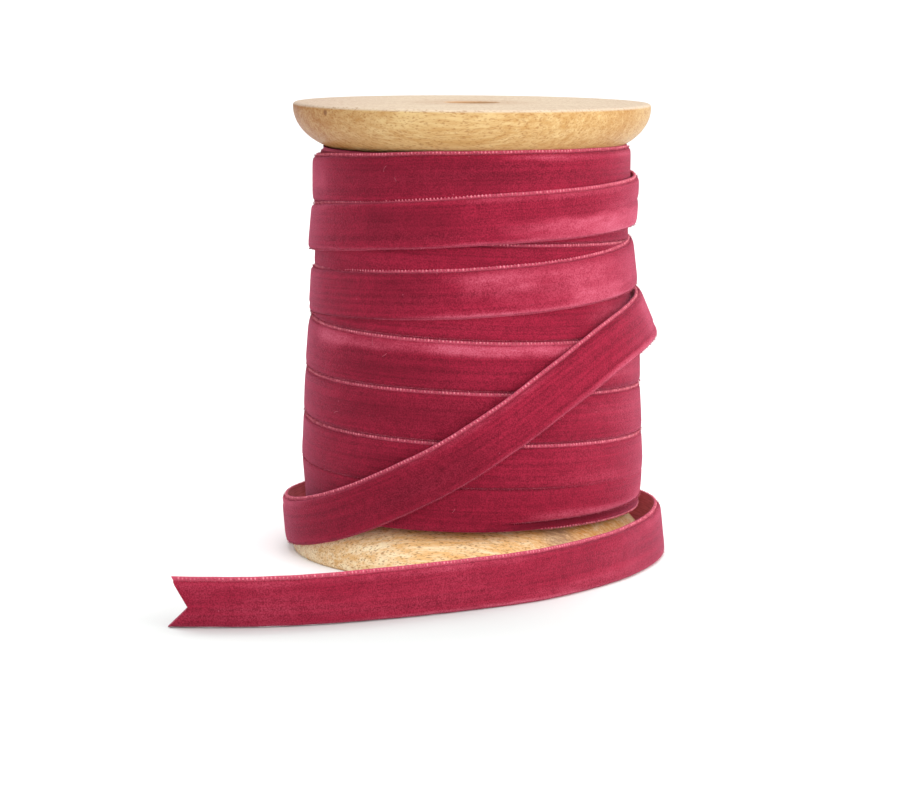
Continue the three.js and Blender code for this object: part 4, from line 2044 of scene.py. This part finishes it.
    def build_turns(self) -> tuple[list[int], list[int]]:
        """Makes the turns and the wedges above the first and below the last.

        Returns:
            The level rings at the head and at the foot.
        """
        columns: list[list[int]] = []
        belows: list[list[float]] = []
        for step in range(self.steps + 1):
            if step > self.last:
                columns.append([self.place(step, *self.rows(step, self.seam[step], 0.0)[0])])
                continue
            rows = self.rows(step, self.seam[step], self.seam[step + self.turn])
            columns.append([self.place(step, *row) for row in rows])
            belows.append([row[2] for row in rows] + [self.seam[step] - self.seam[step + self.turn]])
        full = [[*columns[step], columns[step + self.turn][0]] for step in range(self.last + 1)]
        for step in range(self.last):
            self.band(full[step + 1], full[step], step, belows[step])
        return self.wedge_above(columns, full[0]), self.wedge_below(columns, full[self.last])

    def end_ring(self, first: int, radius: float, height: float, ridge: float) -> list[int]:
        """Adds a ring of points that keeps clear of the flange.

        Args:
            first: The seam's step at which the ring begins.
            radius: Its radius.
            height: The flat face of the flange that it lies against.
            ridge: How far it stands back from the flange.

        Returns:
            The ring, with its first point again at the end.
        """
        made = []
        for i in range(self.turn):
            turn = math.radians(self.degrees(first + i))
            level = self.between_flanges(radius, height) + (-ridge if height > 0 else ridge)
            made.append(self.draft.point((radius * math.cos(turn), radius * math.sin(turn), level)))
        return [*made, made[0]]

    def join(self, after: Sequence[int], before: Sequence[int]) -> None:
        """Adds the faces between two rings."""
        for k in range(len(before) - 1):
            self.draft.face((after[k], before[k], before[k + 1], after[k + 1]), [(0.0, 0.0)] * 4)

    def build_ends(self, head: list[int], foot: list[int]) -> None:
        """Closes the skin along both flanges and round the barrel.

        Args:
            head: The level ring at the head.
            foot: The level ring at the foot.
        """
        rings_head, rings_foot = [head], [foot]
        for k, radius in enumerate(self.ends):
            ridge = self.end_ridge if k % 2 else 0.0
            rings_head.append(self.end_ring(0, radius, SPOOL.height, ridge))
            rings_foot.append(self.end_ring(self.last, radius, 0.0, ridge))
        for k in range(len(self.ends)):
            self.join(rings_head[k + 1], rings_head[k])
            self.join(rings_foot[k], rings_foot[k + 1])
        inner = rings_foot[-1][: self.turn]
        offset = self.last % self.turn
        matched = [inner[(i - offset) % self.turn] for i in range(self.turn)]
        self.join([*matched, matched[0]], rings_head[-1])

    def follow(self, places: Sequence[tuple[int, float, float]], way: float) -> EdgeLine:
        """Follows places along the wound surface.

        Args:
            places: Step, height and distance under the wound radius of each place.
            way: 1 where what stands on the line points up, and -1 where it points down.

        Returns:
            The line.
        """
        line = EdgeLine()
        for step, height, sunk in places:
            degrees = self.degrees(step)
            turn = math.radians(degrees)
            outward = np.array([math.cos(turn), math.sin(turn), 0.0])
            place = outward * (self.radius(degrees, height) - sunk) + np.array([0.0, 0.0, height])
            line.add(place, outward, np.array([0.0, 0.0, way]))
        return line

    def edge_line(self, below: float, sunk: float, way: float, shown_from: float) -> EdgeLine:
        """Follows the bare edge or a border of the pile, wherever the seam is open.

        Args:
            below: Distance below the seam, in millimetres, less than 0 above it.
            sunk: How far it lies under the wound radius.
            way: 1 where what stands on it points up, and -1 where it points down.
            shown_from: How much of the upper edge has to show there, from 0 to 1.

        Returns:
            The line.
        """
        steps = [k for k in range(2, self.steps) if self.showing(k) >= shown_from]
        open_steps = [k for k in steps if self.seam_depth(k) >= self.open_from]
        return self.follow([(k, float(self.seam[k]) - below, sunk) for k in open_steps], way)

    def foot_line(self) -> EdgeLine:
        """Follows the lowest edge, where it shows above the foot on the right.

        Returns:
            The line.
        """
        height = float(self.seam[-1]) + self.foot_line_rise
        first, end = self.foot_edge
        steps = [k for k in range(self.last, self.steps) if first < self.degrees(k) < end]
        return self.follow([(k, height, self.lies_back(k)) for k in steps], 1.0)

    def build(self, finishes: Finishes) -> list[bpy.types.Object]:
        """Makes the under layer and its edge loops.

        Args:
            finishes: The object's materials.

        Returns:
            The skin and its loops.
        """
        head, foot = self.build_turns()
        self.build_ends(head, foot)
        cloth = self.draft.build(self.name, [finishes.pile])
        settle(cloth, Slot.VELVET, "ribbon_winding")
        edge = self.edge_line(below=0.30, sunk=0.45, way=1.0, shown_from=0.5)
        lines = [edge, self.foot_line()]
        loops = EdgeLoops("wound_under_edge", lines, 13).build(finishes)
        settle(loops, Slot.VELVET, "ribbon_winding")
        border = self.edge_line(below=0.72, sunk=0.30, way=1.0, shown_from=0.5)
        above = self.edge_line(below=-0.35, sunk=0.15, way=-1.0, shown_from=0.0)
        tips = PileFringe("wound_under_pile_tips", [border, above], 17).build(finishes)
        settle(tips, Slot.VELVET, "ribbon_winding")
        return [cloth, loops, tips]


@dataclass(frozen=True)
class StrayFibre:
    """One loose fibre: its middle, the direction it lies in, its length and its bend."""

    angle: float
    height: float
    radius: float
    slant: float
    length: float
    bend: float


STRAY_FIBRES: tuple[StrayFibre, ...] = (
    StrayFibre(-124, 47.0, 34.1, 78, 2.4, 0.16),
    StrayFibre(-119, 44.2, 34.8, 35, 1.2, -0.12),
    StrayFibre(-121, 80.6, 32.8, 62, 1.4, 0.14),
    StrayFibre(-117, 78.6, 32.8, 118, 0.9, -0.10),
    StrayFibre(-60, 84.0, 32.7, 20, 1.2, 0.12),
    StrayFibre(-101, 61.0, 33.8, 80, 1.1, 0.10),
    StrayFibre(-73, 33.5, 35.2, 100, 1.3, 0.14),
    StrayFibre(-95, 14.0, 35.0, 55, 0.9, -0.10),
    StrayFibre(-140, 31.5, 34.9, 25, 1.3, 0.14),
    StrayFibre(-47, 22.0, 35.6, 140, 1.1, 0.12),
    StrayFibre(20, 44.0, 35.0, 60, 1.5, 0.15),
    StrayFibre(95, 38.0, 34.8, 110, 1.4, -0.14),
    StrayFibre(170, 27.0, 34.9, 40, 1.4, 0.12),
)


@dataclass
class Strays:
    """Pale fibres caught on the pile."""

    name: str = "stray_fibres"
    thickness: float = 0.05
    steps: int = 7
    sides: int = 4
    fibres: tuple[StrayFibre, ...] = STRAY_FIBRES

    def centre(self, fibre: StrayFibre, share: float) -> tuple[np.ndarray, np.ndarray]:
        """Place on a fibre and the direction out of the pile there.

        Args:
            fibre: The fibre.
            share: How far along it, from -1 to 1.

        Returns:
            The place, in millimetres, and the unit direction.
        """
        slant = math.radians(fibre.slant)
        along, bow = share * fibre.length / 2, fibre.bend * (1 - share * share)
        aside = along * math.cos(slant) - bow * math.sin(slant)
        rise = along * math.sin(slant) + bow * math.cos(slant)
        turn = math.radians(fibre.angle) + aside / fibre.radius
        out = np.array([math.cos(turn), math.sin(turn), 0.0])
        height = fibre.height + rise
        return out * (fibre.radius + 0.12 * (1 - share * share)) + np.array([0.0, 0.0, height]), out

    def build(self, finishes: Finishes) -> bpy.types.Object:
        """Makes the fibres as thin closed tubes.

        Args:
            finishes: The object's materials.

        Returns:
            The fibres.
        """
        draft = MeshDraft()
        for fibre in self.fibres:
            rings = []
            for share in np.linspace(-1, 1, self.steps):
                place, out = self.centre(fibre, float(share))
                ahead, behind = (self.centre(fibre, float(share) + step)[0] for step in (0.05, -0.05))
                side = np.cross(out, (ahead - behind) / np.linalg.norm(ahead - behind))
                side /= np.linalg.norm(side)
                ring = []
                for k in range(self.sides):
                    turn = 2 * math.pi * k / self.sides
                    offset = out * math.cos(turn) - side * math.sin(turn)
                    ring.append(draft.point(place + offset * self.thickness / 2))
                rings.append(ring)
            for before, after in zip(rings, rings[1:]):
                for k in range(self.sides):
                    j = (k + 1) % self.sides
                    draft.face((before[k], before[j], after[j], after[k]))
            draft.face(rings[0][::-1])
            draft.face(rings[-1])
        piece = draft.build(self.name, [finishes.fibre])
        return settle(piece, Slot.VELVET)


# Spool


def quarter_arc(steps: int) -> list[float]:
    """Divides a quarter turn into steps and gives the angles, in radians, with both ends."""
    return [math.pi / 2 * k / steps for k in range(steps + 1)]


@dataclass
class Flange:
    """Turned disc at one end of the spool."""

    name: str
    node: str
    foot: bool
    segments: int = 192
    face_rings: tuple[float, ...] = (9.0, 14.0, 19.0, 24.0, 29.0, 33.0)
    bore_steps: int = 4
    rim_steps: int = 6
    dome_steps: int = 24

    def profile(self) -> list[tuple[float, float]]:
        """Lists radius and height over the flat face, from the bore or the axis out, over and back in.

        Returns:
            The profile's points, in millimetres.
        """
        points: list[tuple[float, float]] = []
        if self.foot:
            points.append((0.0, 0.0))
        else:
            for turn in quarter_arc(self.bore_steps):
                radius = SPOOL.bore + SPOOL.bore_round * (1 - math.cos(turn))
                points.append((radius, SPOOL.bore_round * (1 - math.sin(turn))))
        points += [(radius, 0.0) for radius in self.face_rings]
        for turn in quarter_arc(self.rim_steps):
            radius = SPOOL.radius - SPOOL.rim_round * (1 - math.sin(turn))
            points.append((radius, SPOOL.rim_round * (1 - math.cos(turn))))
        for turn in quarter_arc(self.dome_steps)[1:]:
            radius = SPOOL.radius - SPOOL.dome_reach * (1 - math.cos(turn))
            points.append((radius, SPOOL.rim + SPOOL.dome_rise * math.sin(turn)))
        points.append((0.0 if self.foot else SPOOL.bore, SPOOL.rim + SPOOL.dome_rise))
        return points

    def build(self, finishes: Finishes) -> bpy.types.Object:
        """Turns the profile round the axis.

        Args:
            finishes: The object's materials.

        Returns:
            The flange.
        """
        draft = MeshDraft()
        turns = [2 * math.pi * i / self.segments for i in range(self.segments)]
        rings: list[list[int]] = []
        for radius, depth in self.profile():
            height = depth if self.foot else SPOOL.height - depth
            if radius == 0.0:
                rings.append([draft.point((0.0, 0.0, height))] * self.segments)
                continue
            places = [(radius * math.cos(turn), radius * math.sin(turn), height) for turn in turns]
            rings.append([draft.point(place) for place in places])
        if not self.foot:
            rings.append(rings[0])
        for inner, outer in zip(rings, rings[1:]):
            for i in range(self.segments):
                j = (i + 1) % self.segments
                ring = (inner[i], inner[j], outer[j], outer[i])
                draft.face(ring if self.foot else ring[::-1])
        piece = draft.build(self.name, [finishes.foot_wood if self.foot else finishes.wood])
        return settle(piece, Slot.WOOD, self.node)


@dataclass
class Spool:
    """Wooden spool: two turned flanges on a plain barrel."""

    flanges: tuple[Flange, ...] = (
        Flange("turned_top", "spool_top_flange", foot=False),
        Flange("turned_foot", "spool_bottom_flange", foot=True),
    )
    barrel_node: str = "spool_barrel"

    def build(self, frame: dict, finishes: Finishes) -> list[bpy.types.Object]:
        """Makes the flanges and dresses the barrel.

        Args:
            frame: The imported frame.
            finishes: The object's materials.

        Returns:
            The flanges.
        """
        barrel = frame["nodes"][self.barrel_node]
        barrel.data.materials.clear()
        barrel.data.materials.append(finishes.wood)
        return [flange.build(finishes) for flange in self.flanges]


# Studio


@dataclass(frozen=True)
class SoftLight:
    """Square soft light that faces the spool, in metres and watts."""

    name: str
    place: Point
    size: float
    power: float
    colour: Colour
    aim: Point = (0.0, -0.01, 0.05)

    def hang(self) -> None:
        """Adds the light to the scene."""
        data = bpy.data.lights.new(self.name, "AREA")
        data.shape = "SQUARE"
        data.size = self.size
        data.energy = self.power
        data.color = self.colour
        made = bpy.data.objects.new(self.name, data)
        made.location = self.place
        made.rotation_mode = "QUATERNION"
        made.rotation_quaternion = (Vector(self.aim) - Vector(self.place)).to_track_quat("-Z", "Y")
        bpy.context.scene.collection.objects.link(made)


@dataclass
class Studio:
    """Pale floor, soft lights and the camera at the photograph's viewing angle."""

    eye: Point = (0.0, -0.5868, 0.1168)
    tilt_down: float = 8.33
    pan_left: float = 0.29
    roll: float = 0.38
    lens: float = 112.8
    low_sky: float = 0.26
    high_sky: float = 0.94
    right_sky: float = 0.90
    floor_reach: float = 60.0
    # Painted shade: the floor is darker, and a little cyan, under and in front of the loose end.
    painted_shade_floor: Colour = (0.65, 0.675, 0.67)
    far_floor: Colour = (0.97, 0.97, 0.97)
    shade_place: Point = (-0.022, -0.135, 0.0)
    shade_stretch: Point = (1.0, 1.8, 1.0)
    shade_full: float = 0.02
    shade_gone: float = 0.10
    lights: tuple[SoftLight, ...] = (
        SoftLight("soft_right", (0.76, -0.60, 0.34), 0.7, 4.4, (1.0, 0.98, 0.95)),
        SoftLight("soft_front", (0.10, -0.98, 0.36), 0.8, 3.4, (1.0, 1.0, 0.99)),
        SoftLight("soft_back", (-0.22, 0.45, 0.98), 0.7, 3.0, (1.0, 1.0, 1.0)),
    )

    def camera(self) -> None:
        """Makes the camera and sets it as the scene's."""
        data = bpy.data.cameras.new("camera")
        data.lens = self.lens
        data.sensor_width = 36.0
        data.clip_start = 0.01
        data.clip_end = 200.0
        made = bpy.data.objects.new("camera", data)
        tilt, pan, roll = (math.radians(v) for v in (self.tilt_down, -self.pan_left, self.roll))
        ahead = Vector((math.sin(pan) * math.cos(tilt), math.cos(pan) * math.cos(tilt), -math.sin(tilt)))
        right = Vector((math.cos(pan), -math.sin(pan), 0.0))
        up = right.cross(ahead)
        side = math.cos(roll) * right + math.sin(roll) * up
        head = -math.sin(roll) * right + math.cos(roll) * up
        turned = Matrix((side, head, -ahead)).transposed().to_4x4()
        made.matrix_world = Matrix.Translation(self.eye) @ turned
        bpy.context.scene.collection.objects.link(made)
        bpy.context.scene.camera = made

    def floor(self) -> None:
        """Lays the pale floor, with painted shade under and in front of the loose end, where it is darker
        and a little cyan.
        """
        mesh = bpy.data.meshes.new("studio_floor")
        far = self.floor_reach
        square = [(-far, -far, 0), (far, -far, 0), (far, far, 0), (-far, far, 0)]
        mesh.from_pydata(square, [], [(0, 1, 2, 3)])
        made = bpy.data.objects.new("studio_floor", mesh)
        material, sheet, shader = start_material("studio_paper")
        place = sheet.vectors("MULTIPLY", sheet.coordinates("Object"), self.shade_stretch)["Vector"]
        away = sheet.vectors("DISTANCE", place, self.shade_place)["Value"]
        clear = sheet.spread(away, self.shade_full, self.shade_gone)
        pale = sheet.blend(clear, self.painted_shade_floor, self.far_floor)
        sheet.set(shader, Base_Color=pale, Roughness=0.95, Specular_IOR_Level=0.0)
        mesh.materials.append(material)
        bpy.context.scene.collection.objects.link(made)

    def sky(self) -> None:
        """Makes the sky: bright overhead, dim low down, and brighter on the right."""
        world = bpy.data.worlds.new("studio_sky")
        world.use_nodes = True
        sheet = ShaderSheet(world.node_tree)
        shader = next(n for n in world.node_tree.nodes if n.type == "BACKGROUND")
        parts = sheet.split(sheet.coordinates("Generated"))
        above = sheet.times(sheet.spread(parts["Z"], 0.1, 0.85), self.high_sky)
        aside = sheet.times(sheet.spread(parts["X"], -0.2, 1.0), self.right_sky)
        total = sheet.plus(sheet.plus(above, aside), self.low_sky)
        sheet.set(shader, Color=(1.0, 1.0, 1.0, 1.0), Strength=total)
        bpy.context.scene.world = world

    def build(self) -> None:
        """Sets up the floor, the sky and the lights."""
        bpy.context.scene.view_settings.view_transform = "Standard"
        self.sky()
        self.floor()
        for light in self.lights:
            light.hang()


def corners(box: Sequence[Vector]) -> list[list[float]]:
    """Lowest and highest corner of a box as plain numbers."""
    return [[round(float(value), 6) for value in corner] for corner in box]


def main() -> None:
    """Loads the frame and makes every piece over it."""
    logging.basicConfig(level=logging.INFO, format="%(name)s %(message)s", stream=sys.stdout)
    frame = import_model()
    studio = Studio()
    studio.camera()
    effects = SharedEffects.make()
    finishes = Finishes.make(effects)
    Spool().build(frame, finishes)
    UnderLayer().build(finishes)
    outer = OuterLayer()
    outer.build(finishes)
    loose = LooseEnd()
    loose.run.begins = outer.run.length() / MM
    loose.build(finishes)
    Strays().build(finishes)
    studio.build()


if __name__ == "__main__":
    main()
